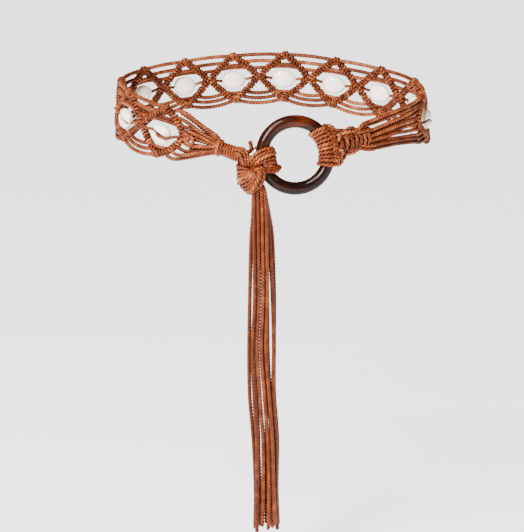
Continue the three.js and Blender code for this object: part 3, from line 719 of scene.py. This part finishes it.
def make_hitches():
    """Turns of cord side by side round the ring, with bights along their outer edge."""
    cords = Cords()
    distance = TUBE_RADIUS + GAP + CORD_RADIUS
    pitch = (HITCH_TO - HITCH_FROM) / (HITCH_WRAPS - 1)
    for wrap in range(HITCH_WRAPS):
        middle = HITCH_FROM + (HITCH_TO - HITCH_FROM) * wrap / (HITCH_WRAPS - 1)
        lean = middle - HITCH_LEVEL
        hook = HITCH_HOOK * max(0, lean) ** 2 * np.maximum(0, np.cos(HITCH_TURN))
        angle = middle - HITCH_SPREAD * lean * np.cos(HITCH_TURN) - hook
        reach = distance + dice.uniform(0, 0.3)
        wound = round_ring(angle + dice.uniform(-0.01, 0.01), HITCH_TURN, reach)
        cords.add(on_ring(wound), radius=HITCH_RADIUS, lay=KNOT_LAY, plies=HITCH_PLIES)
        if wrap < HITCH_WRAPS - 1:
            below = round_ring(angle + pitch / 2, HITCH_TURN, distance - FILLER_SINK)
            cords.add(on_ring(below), radius=FILLER_RADIUS)
    for bight in BIGHTS_ON_RING:
        cords.add(seen_on_ring(bight), radius=FREE_CORD_RADIUS)
    spacing = pitch * BUMP_SPACING
    for bump in range(HITCH_WRAPS):
        angles = HITCH_FROM + BUMP_START + bump * spacing + spacing * BUMP_ALONG
        for side in (1, -1):
            bump_line = round_ring(angles, side * BUMP_TURN, distance + BUMP_LIFT)
            cords.add(on_ring(bump_line), radius=TIGHT_RADIUS)
    cords.build("ring_hitch_cords", "ring_hitches")


def make_flat_knots():
    """Knotted cords as they show at the front, over a plain core."""
    cords = Cords()
    for strand in FLAT_KNOT_STRANDS:
        cords.add(chart(seen_on_band(strand, *FLAT_SEARCH)), radius=STRAND_RADIUS, lay=FLAT_KNOT_LAY)
    for strand in range(FLAT_CORES):
        up = (strand - (FLAT_CORES - 1) / 2) * FLAT_CORE_PITCH
        cords.add(chart([
            (FLAT_START - 5, up * 0.9, -0.5), (FLAT_START + 3, up, 0),
            (FLAT_END - 6, up, 0), (FLAT_END + 3, up, 0),
        ]), radius=STRAND_RADIUS)
    for turn in range(FLAT_TURNS):
        along = FLAT_START + 1.5 + turn * (FLAT_END - FLAT_START - 3) / (FLAT_TURNS - 1)
        half = FLAT_HALF - 1.6 + 0.5 * math.sin(turn * 2.4)
        loop = [(along + 0.8 * math.cos(a), half * math.cos(a), 2.5 * math.sin(a) - 0.6) for a in FLAT_TURN]
        cords.add(chart(loop))
    cords.build("flat_knot_cords", "flat_knots")


# Fans. Strands are lists of (pixel right, pixel down).
FAN_LEFT_STRANDS = [
    [(177, 110.8), (181.4, 111.4), (186.5, 113.6), (191.5, 117.4), (197.1, 121.8), (203.8, 126.9),
     (210.6, 131.6), (217.3, 136.8)],
    [(181.4, 113), (186.4, 116.2), (192.6, 120.4), (198.2, 124.9), (205, 130.5), (211.7, 135.2),
     (217, 139)],
    [(178.4, 118), (184.2, 120.7), (190.4, 124.6), (195.4, 128.6), (203.3, 134.2), (211, 138.4),
     (216.6, 141.6)],
    [(178.6, 124.6), (183.1, 126.6), (189.3, 128.3), (194.3, 130.4), (199.4, 133.2), (207, 138),
     (215, 142.8)],
    [(182, 130.8), (189.3, 132.5), (194.3, 133.9), (200.2, 136.4), (206.6, 139.6), (212, 142.4),
     (217, 144.4)],
    [(187, 134.6), (191.5, 136.6), (196, 138.6), (202.6, 141.3), (209.4, 143.8), (217, 145.6)],
    [(184, 142.6), (188, 145.4), (193.2, 146.6), (199.4, 146.5), (205.6, 147), (212, 146.8),
     (218, 146.8)],
    [(176.6, 146.4), (180.9, 149.5), (184.8, 151.1), (190.4, 151.6), (197.1, 151.1), (205, 149.8),
     (217.3, 148.8)],
    [(169.8, 149.6), (173, 152.6), (176.6, 154.8), (182, 155.3), (189.3, 154.4), (198, 152.9),
     (208, 151.4), (218, 150.6)],
    [(163.4, 152.4), (168, 156.4), (172.5, 158.8), (178.1, 159.2), (184.2, 158.3), (191.5, 157),
     (199.4, 155.4), (208, 153.8), (218.6, 152.2)],
]
FAN_LEFT_LOOPS = [
    [(186.4, 132), (185, 136), (185.4, 140.4), (188, 144), (191.4, 145.2), (193, 142.4), (192.2, 138.6),
     (190.6, 135.6)],
    [(183, 133.4), (187.2, 134.4), (189, 138.2), (187.6, 142), (184, 144)],
    [(180.4, 140), (184, 139.4), (186.8, 141.4)],
    [(181.6, 130.6), (184.2, 132.6), (185, 136.4), (183.4, 140.4)],
]
FAN_RIGHT_STRANDS = [
    [(366.5, 122.4), (371.7, 120.4), (378.4, 117.7), (385.1, 115), (391.8, 112.3), (398.5, 109.7),
     (405.2, 107), (411.9, 103.6), (416.6, 100.6)],
    [(366.3, 125.2), (373.9, 122.9), (382.9, 119.5), (391.8, 115.9), (400.7, 112.3), (407.4, 109.9),
     (414.1, 106.8)],
    [(369.5, 131), (376.2, 128), (382.9, 125.3), (389.6, 122.2), (396.3, 119.5), (403, 116.6),
     (409.7, 112.8), (415, 109)],
    [(370.8, 133.6), (378.4, 130.7), (387.3, 127.1), (396.3, 123), (403, 119.9), (409.7, 116.3),
     (413.7, 114.1)],
    [(370.4, 136.2), (378.4, 133.4), (387.3, 129.9), (396.3, 126.3), (403, 123.3), (408.3, 121),
     (413.7, 119.2)],
    [(371.7, 138), (378.4, 136), (387.3, 132.8), (396.3, 129.7), (403, 127.5), (408.8, 125.7),
     (413, 124.6)],
    [(372.6, 140), (378.4, 138.4), (385.1, 136.5), (391.8, 134.3), (398.5, 132.5), (405.2, 131.5),
     (411.9, 130.2), (416, 129.4)],
    [(370.6, 142.6), (378, 141), (387.3, 139.1), (394, 138.3), (400.7, 137.2), (407.4, 136.2),
     (413.2, 135.1), (417, 134.8)],
    [(368.6, 145.8), (373.9, 145.3), (380.6, 143.4), (387.3, 142.2), (394, 141), (400.7, 140),
     (407.4, 138.9), (414.1, 138.4), (418.6, 138.2)],
    [(365, 149), (371.7, 148.6), (378.4, 147.6), (387.3, 145.6), (396.3, 143.8), (405.2, 142.7),
     (414.1, 141.9), (420, 142)],
]


def make_fan_left():
    """Ten strands from the net's last diamond, gathered into the neck."""
    cords = Cords()
    for index, strand in enumerate(FAN_LEFT_STRANDS):
        lift = FAN_LEFT_LIFTS[index % 2]
        last = len(strand) - 1
        seen = [(x, y, 0.8 + lift * math.sin(math.pi * step / last)) for step, (x, y) in enumerate(strand)]
        seen = seen_on_band(seen, *FAN_LEFT_SEARCH)
        gather = seen[-1][1]
        seen.append((NECK_ALONG + 1, gather * 0.55, lift))
        seen.append((NECK_ALONG + 6, gather * 0.35, lift * 0.5))
        cords.add(chart(seen), radius=STRAND_RADIUS)
    for strand in range(FAN_BACK_STRANDS):
        up = (strand - (FAN_BACK_STRANDS - 1) / 2) * FAN_BACK_PITCH
        cords.add(chart([
            (NET_END + 6, up * 2.1, -1.6), (NET_END + 17, up * 1.6, -2.2),
            (NECK_ALONG, up * 0.9, -3.2), (NECK_ALONG + 5, up * 0.7, -3),
        ]))
    for loop in FAN_LEFT_LOOPS:
        seen = seen_on_band([(x, y, 3) for x, y in loop], *FAN_LEFT_SEARCH)
        cords.add(chart(seen), radius=FAN_LOOP_RADIUS)
    cords.build("fan_left_cords", "fan_left")


def make_fan_right():
    """Ten strands from the flat knots out to the net's first diamond."""
    cords = Cords()
    for index, strand in enumerate(FAN_RIGHT_STRANDS):
        lift = FAN_RIGHT_LIFTS[index % 2]
        last = len(strand) - 1
        seen = [(x, y, lift * (1 - step / last)) for step, (x, y) in enumerate(strand)]
        seen = seen_on_band(seen, *FAN_RIGHT_SEARCH)
        first_up, end_up = seen[0][1], seen[-1][1]
        bar = NET_START + NET_PITCH / 2 * min(1, abs(end_up) / NET_HALF)
        inside = [(FLAT_END - 5, first_up * 0.85, lift * 0.5)]
        before_bar = [point for point in seen if point[0] < bar - 3]
        cords.add(chart([*inside, *before_bar, (bar + 1, end_up, 0)]), radius=FAN_RIGHT_RADIUS)
    cords.build("fan_right_cords", "fan_right")


# Net.
def hitched_bar(cords, start, end, bow, slant):
    """A bar of hitches between two chart points: leaning turns side by side over a core."""
    start = np.array(start)
    end = np.array(end)
    run = unit(end - start)
    outward = np.array([-run[1], run[0]])
    if outward[1] * (start[1] + end[1]) < 0:
        outward = -outward
    length = np.linalg.norm(end - start)
    wraps = int(round(length / (2 * CORD_RADIUS)))

    def middle(share):
        return start + (end - start) * share + outward * bow * math.sin(math.pi * share)

    core = [(*middle(share), 0) for share in np.linspace(0, 1, 7)]
    cords.add(chart(core), radius=BAR_CORE_RADIUS)
    for wrap in range(wraps):
        centre = middle((wrap + 0.5) / wraps)
        ahead = unit(middle((wrap + 1) / wraps) - middle(wrap / wraps))
        across = np.array([-ahead[1], ahead[0]])
        reach = BAR_RADIUS - WRAP_INSET + dice.uniform(-0.1, 0.25)
        swing = ahead * slant * WRAP_LEANS[wrap % 2] + across * reach
        loop = [(*(centre + swing * math.cos(turn)), WRAP_DEPTH * math.sin(turn)) for turn in WRAP_TURN]
        cords.add(chart(loop), lay=WRAP_LAY, step=WRAP_STEP)


def cradle_height(side):
    """How far from the belt's middle the shell's cradle strand lies."""
    return SHELL_WIDTH / 2 + GAP + CORD_RADIUS - side * SHELL_DROP


def add_corner(cords, middle, side):
    """Two turns of cord that close a diamond's upper or lower corner."""
    up = side * (NET_HALF - 0.6)
    for shift in CORNER_SHIFTS:
        along = middle + shift
        loop = [(along + 0.5 * math.cos(a), up + 3 * math.cos(a), 2.5 * math.sin(a)) for a in WRAP_TURN]
        cords.add(chart(loop), lay=WRAP_LAY, step=WRAP_STEP)


def make_net_panel(index):
    """One diamond of the net, with its shell's strands and the arcs before it."""
    cords = Cords()
    half = NET_PITCH / 2
    start = NET_START + index * NET_PITCH
    middle = start + half
    far_bow = LAST_BAR_BOW if index == DIAMONDS - 1 else BAR_BOW
    for side in (1, -1):
        corner = (middle, side * NET_HALF)
        hitched_bar(cords, (start + 1, 0), corner, BAR_BOW, side)
        hitched_bar(cords, (start + NET_PITCH - 1, 0), corner, far_bow, side)
        if index > 0:
            add_arcs(cords, start, half, side)
        add_cradle(cords, middle, half, side)
    for side in (1, -1):
        add_corner(cords, middle, side)
    add_thread(cords, index, middle, half)
    cords.build(f"net_cords_{index + 1}", f"net_{index + 1}")


def add_arcs(cords, crossing, half, side):
    """Free strands between two diamonds."""
    slack = UPPER_SLACK if side > 0 else LOWER_SLACK
    lowest = cradle_height(side) / NET_HALF
    for arc in range(ARCS):
        share = lowest + (1 - lowest) * arc / (ARCS - 1)
        lift = slack * share + dice.uniform(-0.3, 0.3)
        out = dice.uniform(-0.5, 0.5)
        points = []
        for t in ARC_SHARES:
            rise = share * NET_HALF + lift * max(0, 1 - t * t)
            points.append((crossing + t * share * half, side * rise, out * (1 - abs(t))))
        cords.add(chart(points), radius=FREE_CORD_RADIUS)


def add_cradle(cords, middle, half, side):
    """Strands that cross inside the diamond, above or below the shell."""
    for lift in CRADLE_LIFTS[side]:
        up = cradle_height(side) + lift
        reach = half * (1 - up / NET_HALF) + 1.5
        bow = 1.0 if lift < 1 else 0.2
        out = 0.8 - 0.3 * lift
        points = [(middle + t * reach, side * (up + bow * (1 - t * t)), out) for t in CRADLE_SHARES]
        cords.add(chart(points), radius=TIGHT_RADIUS)


def add_thread(cords, index, middle, half):
    """The strand that runs into the shell's slit and comes out over its far half."""
    front = SHELL_OUT + SHELL_THICK / 2
    lift = front + THREAD_LIFT.get(index, THREAD_REST)
    slope = math.tan(SHELL_TILT.get(index, 0))
    inside = front - THREAD_SINK
    cords.add(chart([
        (middle - half + 2, 0, 1.8), (middle - 17, -1.2, 2.4), (middle - 12, -2.1 + 6 * slope, 2.4),
        (middle - 8, -2.4 + 7 * slope, inside), (middle - 3, -2.9 + 3 * slope, inside),
        (middle, -3.4, lift - 1.2), (middle + 3, -3.6 - 2 * slope, lift),
        (middle + 8, -3.3 - 4 * slope, lift - 0.6), (middle + 12, -2.7 - 3 * slope, lift - 1.6),
        (middle + 16, -1.5, 3.2), (middle + half - 2, 0, 2),
    ]), radius=THREAD_RADIUS)


# Cowries.
def shell_shape():
    """A cowrie about its own middle, with its slit, and the painted shade at its sides and ends and in its
    slit.
    """
    bend = np.sin(np.linspace(-1, 1, SHELL_ROWS) * math.pi / 2)[:, None] * 0.999
    girth = (1 + bend) ** NARROW_END * (1 - bend) ** BLUNT_END
    girth = girth / girth.max()
    turn = np.linspace(0, 2 * math.pi, SHELL_AROUND, endpoint=False)
    turn = turn - 0.3 * np.sin(2 * turn)
    front = np.cos(turn)
    flat_front = np.where(front > 0, np.abs(front) ** 0.75, -np.abs(front) ** 0.9 * 0.8)
    x = np.repeat(bend * SHELL_LENGTH / 2, SHELL_AROUND, axis=1)
    y = girth * np.sin(turn) * SHELL_WIDTH / 2
    z = girth * flat_front * SHELL_THICK / 2
    from_slit = y + 0.5 * np.sin(bend * 2.2)
    on_front = (z > 0) & (np.abs(bend) < 0.97)
    slit = np.exp(-(from_slit / SLIT_HALF) ** 2) * on_front
    lips = np.exp(-((np.abs(from_slit) - LIP_PLACE) / LIP_HALF) ** 2) * on_front
    teeth = 0.5 + 0.5 * np.cos(x * 2 * math.pi / TOOTH_PITCH)
    fade = np.clip((1 - np.abs(bend)) * 6, 0, 1)
    z = z - SLIT_DEPTH * slit * fade - TOOTH_DEPTH * teeth * lips * fade + LIP_RISE * lips * fade
    # Painted shade toward the shell's sides and ends.
    painted_edge_shade = np.clip(1 - np.abs(front), 0, 1) * 0.35 + np.abs(bend) ** 3 * 0.4
    # Painted shade inside the slit.
    painted_slit_shade = np.clip(slit * fade * 1.7 - 0.4, 0, 1)
    return {"x": x[..., None], "y": y[..., None], "z": z[..., None], "slit": painted_slit_shade, "painted_edge_shade": np.clip(painted_edge_shade, 0, 1)}


SHAPE = shell_shape()


def make_shell(index):
    """A cowrie in its diamond, with its toothed slit to the front."""
    middle = NET_START + (index + 0.5) * NET_PITCH
    here = band_frame(middle)
    base = on_band(middle, -SHELL_DROP, SHELL_OUT)
    tilt = SHELL_TILT.get(index, 0)
    long_way = here["forward"] * math.cos(tilt) - here["up"] * math.sin(tilt)
    cross_way = here["up"] * math.cos(tilt) + here["forward"] * math.sin(tilt)
    points = base + SHAPE["x"] * long_way + SHAPE["y"] * cross_way + SHAPE["z"] * here["out"]
    name = f"cowrie_shell_{index + 1}"
    mesh = smooth_mesh(name, points.reshape(-1, 3), tube_faces(SHELL_ROWS, SHELL_AROUND, 0))
    # Painted shade for the slit and for the sides and ends.
    store(mesh, "slit", SHAPE["slit"])
    store(mesh, "painted_edge_shade", SHAPE["painted_edge_shade"])
    finish_piece(name, mesh, SHELL, [f"cowrie_{index + 1}"])


# Neck wrap. Its two ends are lists of (pixel right, pixel down, millimetres out).
NECK_STUB = [
    (247.6, 152.6, -4), (250.6, 150.6, -3), (251.4, 147.4, -3), (250.6, 144.2, -3.2), (249.8, 141.4, -3.4),
]
NECK_STRAY = [(251, 152.4, -3), (253, 149.6, -3), (256, 147.2, -4)]


def neck_line():
    """Where the neck starts, bends and ends."""
    far = on_band(NECK_ALONG, 0, 0)
    near = on_ring(NECK_END)[0]
    bend = far + band_frame(NECK_ALONG)["forward"] * np.linalg.norm(near - far) / 2
    return far, bend, near


def neck_ahead():
    """The neck's direction where it meets the knot."""
    _, bend, near = neck_line()
    return unit(near - bend)


def wound_points(far, bend, near):
    """A helix round the neck's curve, a little wider towards the ring."""
    points = []
    for t in np.linspace(0, 1, NECK_TURNS * 14 + 1):
        centre = (1 - t) ** 2 * far + 2 * t * (1 - t) * bend + t * t * near
        ahead = unit((1 - t) * (bend - far) + t * (near - bend))
        side = unit(np.cross(ahead, RING_OUT))
        top = np.cross(side, ahead)
        reach = (NECK_SMALL + (NECK_LARGE - NECK_SMALL) * t) / 2 - WOUND_RADIUS
        turn = 2 * math.pi * NECK_TURNS * t
        points.append(centre + reach * (math.cos(turn) * side + math.sin(turn) * top))
    return points


def make_neck():
    """Cord wound round the strands, with both its ends showing."""
    cords = Cords()
    far, bend, near = neck_line()
    cords.add(wound_points(far, bend, near), radius=WOUND_RADIUS, lay=WOUND_LAY, step=WOUND_STEP)
    forward = neck_ahead()
    inside = [far - forward, (far + near) / 4 + bend / 2, near + forward]
    cords.add(inside, radius=NECK_SMALL / 2 - 1.6, lay=FILLING_LAY, step=2.5)
    cords.add(seen_on_ring(NECK_STUB), radius=2.1, cut=True)
    cords.add(seen_on_ring(NECK_STRAY), radius=0.9, cut=True)
    start = unit(bend - far)
    side = unit(np.cross(start, RING_OUT))
    for shift in COLLAR_SHIFTS:
        loop = [far + start * (shift + 0.5 * math.cos(a))
                + COLLAR_REACH * (math.cos(a) * side + math.sin(a) * RING_OUT)
                for a in np.linspace(-1.5, 4.9, 15)]
        cords.add(loop, radius=TIGHT_RADIUS)
    cords.build("neck_wrap_cords", "neck_wrap")


# Ring knot. Strands are lists of (pixel right, pixel down, millimetres out).
FROM_NECK = [
    [(244, 149.6, -1), (247, 153.6, 2.4), (248.4, 158.6, 5), (248.4, 163.6, 5.4), (247.8, 169, 3)],
    [(241.8, 151.6, 0), (244.6, 155.6, 3), (246, 160, 5), (246.2, 164.6, 5.4), (246, 169.6, 3.4)],
    [(239.4, 154.6, 0), (241.9, 158.6, 2.6), (243.4, 162.6, 4), (244.2, 166, 4.4), (245, 170, 3)],
    [(239, 158, -3), (241, 161.6, 0), (242.4, 165.4, 2), (243.4, 169, 2)],
]
OVER_RING = [
    [(247.8, 168.8, 3), (248.6, 163.6, 6.4), (251.3, 158.8, 7.8), (255.8, 154.1, 8.4),
     (261.9, 150.6, 8.6), (267.5, 148.9, 7.6), (272, 147.8, 4)],
    [(250, 169.4, 3), (251.5, 165, 6.8), (254.3, 160.8, 8.2), (258.3, 157, 9.6), (263.3, 153.9, 10),
     (268.9, 151.6, 8.4), (273.6, 150, 4)],
    [(252.5, 169.6, 3.5), (255.2, 165, 7.2), (258, 161.8, 9.2), (261.9, 158.6, 10.2), (266.5, 156, 9.8),
     (271.2, 154.2, 7.8), (275, 153.2, 3.5)],
    [(255.3, 168.8, 5), (258.3, 165.1, 8), (261.9, 162.6, 9.2), (266.5, 160.2, 8.8), (271.2, 158.6, 7),
     (275, 157.6, 2.5)],
    [(260, 166.9, 6), (263.7, 164.7, 8.4), (268.4, 163.3, 8.3), (272.6, 162.3, 6.3), (275.8, 162, 2)],
    [(260.9, 167.9, 6), (264.7, 166.4, 8.6), (269.3, 166, 7.8), (273.6, 165.9, 4.8), (276.3, 165.9, 0.5)],
    [(261.9, 168.1, 6), (266.1, 168.6, 8.4), (270.7, 168.9, 7.8), (274.9, 168.3, 5.7), (278, 166, 1)],
    [(261.4, 167.3, 7), (264.7, 169.9, 9.2), (269.3, 171.4, 8.6), (274, 171.6, 7), (277.7, 170.3, 4.5),
     (280, 167, 0.5)],
]
UNDER_THE_OVERS = [
    [(257, 162, 5), (265, 157.8, 6.2), (270.5, 156.2, 5.4), (274.2, 155.6, 1)],
    [(259, 165, 5), (266, 161, 6.2), (271.5, 160, 5), (275, 159.8, 0.5)],
    [(261, 167, 5), (267, 164.8, 6), (272.4, 164, 4.4), (275.8, 163.9, 0)],
]
BULGE = [
    [(239.4, 163.4, -4), (237.6, 166.4, 0.5), (241.3, 167.8, 5.5), (246, 169.3, 7), (250.7, 170.7, 7.4),
     (254, 170.3, 6)],
    [(239.6, 168, -4), (238, 170.7, 0.5), (242, 171.9, 6), (246.9, 172.3, 8.2), (251.6, 171.7, 8.8),
     (255.6, 170, 7)],
    [(240, 173, -4), (238.2, 174.8, 0), (242.7, 174.9, 6.2), (247.4, 174.6, 8.8), (252.1, 173.5, 9.2),
     (256.6, 171.2, 7.4)],
    [(240, 177.6, -4), (237.9, 178.9, 0), (242.3, 178.1, 6), (247.4, 176.8, 9.2), (252.5, 174.9, 9.8),
     (257, 171.9, 8)],
    [(241, 182.6, -4.4), (238.7, 183.2, -0.5), (242.7, 181.9, 5.4), (247.9, 179.5, 9.2),
     (252.5, 177.2, 10.2), (256.3, 174.6, 9.6), (258.2, 171.6, 8)],
    [(244, 187.4, -4.4), (241.4, 186.3, -0.5), (245.6, 184.7, 5.4), (250.2, 182.2, 9.2),
     (253.9, 179.2, 10.4), (256.9, 175.8, 10.2), (258.2, 172.4, 9)],
    [(247, 190.6, -4), (243.9, 189.2, 0), (248.1, 187.3, 5.5), (252.1, 184.5, 9), (255, 181, 10.2),
     (257.2, 177, 10.2), (258.2, 173.6, 9)],
    [(251, 193, -3), (247.2, 192.3, 0.5), (250, 190.4, 5), (253, 187.2, 8.2), (255.6, 183.6, 9.6),
     (257.6, 179.6, 9.8), (258.4, 175.6, 9)],
]
DOWN_THE_FRONT = [
    [(254.4, 171, 7), (256.6, 169.3, 10), (259.2, 170.6, 11.6), (260, 174, 11.8), (259, 178.2, 11.4),
     (256.9, 182.3, 10.8), (254.4, 186.2, 9.6), (252.4, 189.6, 7.4), (251.8, 192.6, 4)],
    [(259.5, 167.2, 7), (261.6, 168.6, 9.6), (263.4, 172.6, 10.2), (263.3, 177.6, 10),
     (261.5, 182.3, 9.4), (258.5, 186.3, 8.2), (255.8, 189.2, 6), (254, 191.4, 3)],
]


# Behind the ring: (pixel right, pixel down, pixels down for each next strand, millimetres out).
BEHIND_RING = [(258, 163, 1.6, -9), (250, 168, 1.8, -7), (245, 170, 2, -4)]
# Fillings that close the knot inside: radius, lay and points.
KNOT_FILLINGS = [
    (4.2, 60, [(246, 158, 0), (248, 166, 0), (249, 174, 0)]),
    (4.2, 60, [(250, 156, 3), (252, 164, 3), (253, 172, 3)]),
    (6.0, 70, [(245, 168, 0), (247, 176, 1), (250, 184, 1.5), (253, 190.6, 1.5)]),
    (4.6, 60, [(254, 172, 3), (255, 180, 3), (255, 189, 2.4)]),
]


def over_and_behind(strand, index):
    """A strand over the ring, led on round its bar and back behind the knot."""
    x, y, _ = strand[-1]
    turned = [(x - 2.6, y + 1, -4.5), (x - 9, y + 2.4, -8.4)]
    return [*strand, *turned, *((x, y + index * spread, out) for x, y, spread, out in BEHIND_RING)]


def add_knot_strand(cords, points, radius):
    cords.add(points, radius=radius, lay=KNOT_LAY, plies=KNOT_PLIES)


def make_knot():
    """The strands over and round the ring, then round themselves and down."""
    cords = Cords()
    for strand in FROM_NECK:
        inside = seen_on_ring([strand[0]])[0] - neck_ahead() * 5
        add_knot_strand(cords, [inside, *seen_on_ring(strand)], FROM_NECK_RADIUS)
    for index, strand in enumerate(OVER_RING):
        add_knot_strand(cords, seen_on_ring(over_and_behind(strand, index)), OVER_RING_RADIUS)
    for strand in UNDER_THE_OVERS + BULGE:
        add_knot_strand(cords, seen_on_ring(strand), TIGHT_RADIUS)
    for strand in DOWN_THE_FRONT:
        bold = [(x, y, out + FRONT_LIFT) for x, y, out in strand]
        add_knot_strand(cords, seen_on_ring(bold), FRONT_RADIUS)
    for radius, lay, points in KNOT_FILLINGS:
        cords.add(seen_on_ring(points), radius=radius, lay=lay, step=2.0)
    cords.build("ring_knot_cords", "ring_knot")


# Fringe.
def fringe_lines():
    """The middle line of each free cord, from inside the knot to its cut end."""
    lines = []
    for strand in range(STRANDS):
        length = FRINGE_LENGTH - FRINGE_TRIM[strand]
        across = HEAD_LEFT + FRINGE_ROWS[0][1][strand] * HEAD_BREADTH
        start = on_ring((across, -KNOT_DROP + HEAD_RISE, HEAD_OUT))[0]
        start[1] += FRINGE_LAYERS[strand] * LAYER_PITCH * HEAD_LAYERS
        points = [start]
        for down, across in FRINGE_ROWS:
            top = (FRINGE_LEFT + across[strand] * FRINGE_BREADTH, -KNOT_DROP - GAP, FRINGE_OUT)
            point = on_ring(top)[0]
            point[1] += FRINGE_LAYERS[strand] * LAYER_PITCH * min(1, 0.5 + 3 * down)
            point[2] -= down * length
            points.append(point)
        lines.append(smooth_line(points, FRINGE_STEP))
    return lines


def make_fringe():
    """The cords' free ends, each one hanging from the knot."""
    lines = fringe_lines()
    for strand, line in enumerate(lines):
        cord = Cords(beside=lines[:strand] + lines[strand + 1:])
        cord.add(line, radius=FREE_CORD_RADIUS, cut=True)
        piece = cord.build(f"fringe_cord_{strand + 1}", "fringe")


# Camera, floor and light.
SENSOR = 36
FLOOR_DROP = 0.03
FLOOR_HALF = 25.0


def make_camera():
    """The photograph's view, with the ring at its place in the frame."""
    data = bpy.data.cameras.new("photo_view")
    data.sensor_width = SENSOR
    data.lens = SENSOR * FOCAL / PHOTO_HEIGHT
    data.clip_start = 0.05
    data.clip_end = 50
    camera = show("photo_view", data)
    camera.location = CAMERA_PLACE * MM
    camera.rotation_euler = (math.pi / 2 - PITCH, 0, YAW)
    bpy.context.scene.camera = camera


def make_stage():
    """A wide pale floor below the free ends."""
    height = cad_low[2] - FLOOR_DROP
    half = FLOOR_HALF
    points = [(-half, -half, height), (half, -half, height), (half, half, height), (-half, half, height)]
    mesh = bpy.data.meshes.new("pale_floor")
    mesh.from_pydata(points, [], [(0, 1, 2, 3)])
    material, tree, shader = new_material("pale_paper")
    feed(tree, shader, {
        "Base Color": (0.93, 0.93, 0.92, 1), "Roughness": 0.9, "Specular IOR Level": 0.1,
        "Emission Color": (1, 1, 1, 1), "Emission Strength": 1.3,
    })
    mesh.materials.append(material)
    show("pale_floor", mesh)


def add_area_light(name, place, size, power, aim=(0, -0.1, -0.1)):
    """A square light at a place, turned to face its aim."""
    data = bpy.data.lights.new(name, "AREA")
    data.shape = "RECTANGLE"
    data.size = size
    data.size_y = size
    data.energy = power
    light = show(name, data)
    light.location = place
    direction = np.array(place) - np.array(aim)
    flat = math.hypot(direction[0], direction[1])
    light.rotation_euler = (math.atan2(flat, direction[2]), 0, math.atan2(direction[0], -direction[1]))


def add_overhead():
    """Soft daylight from above the front right."""
    data = bpy.data.lights.new("overhead", "SUN")
    data.energy = 4.0
    data.angle = math.radians(25)
    light = show("overhead", data)
    light.rotation_euler = (math.radians(38), 0, math.radians(-35))


def make_lights():
    world = bpy.data.worlds.new("soft_studio")
    world.use_nodes = True
    background = world.node_tree.nodes["Background"]
    feed(world.node_tree, background, {"Color": (1, 0.98, 0.96, 1), "Strength": 0.3})
    bpy.context.scene.world = world
    add_area_light("key", (-0.85, -1.5, 0.9), 0.6, 85)
    add_area_light("fill", (1.5, -1.6, 0.4), 1.2, 4)
    add_overhead()


make_camera()
make_fringe()
make_stage()
make_lights()
make_ring()
make_hitches()
make_flat_knots()
make_fan_right()
for panel in range(DIAMONDS):
    make_net_panel(panel)
    make_shell(panel)
make_fan_left()
make_neck()
make_knot()
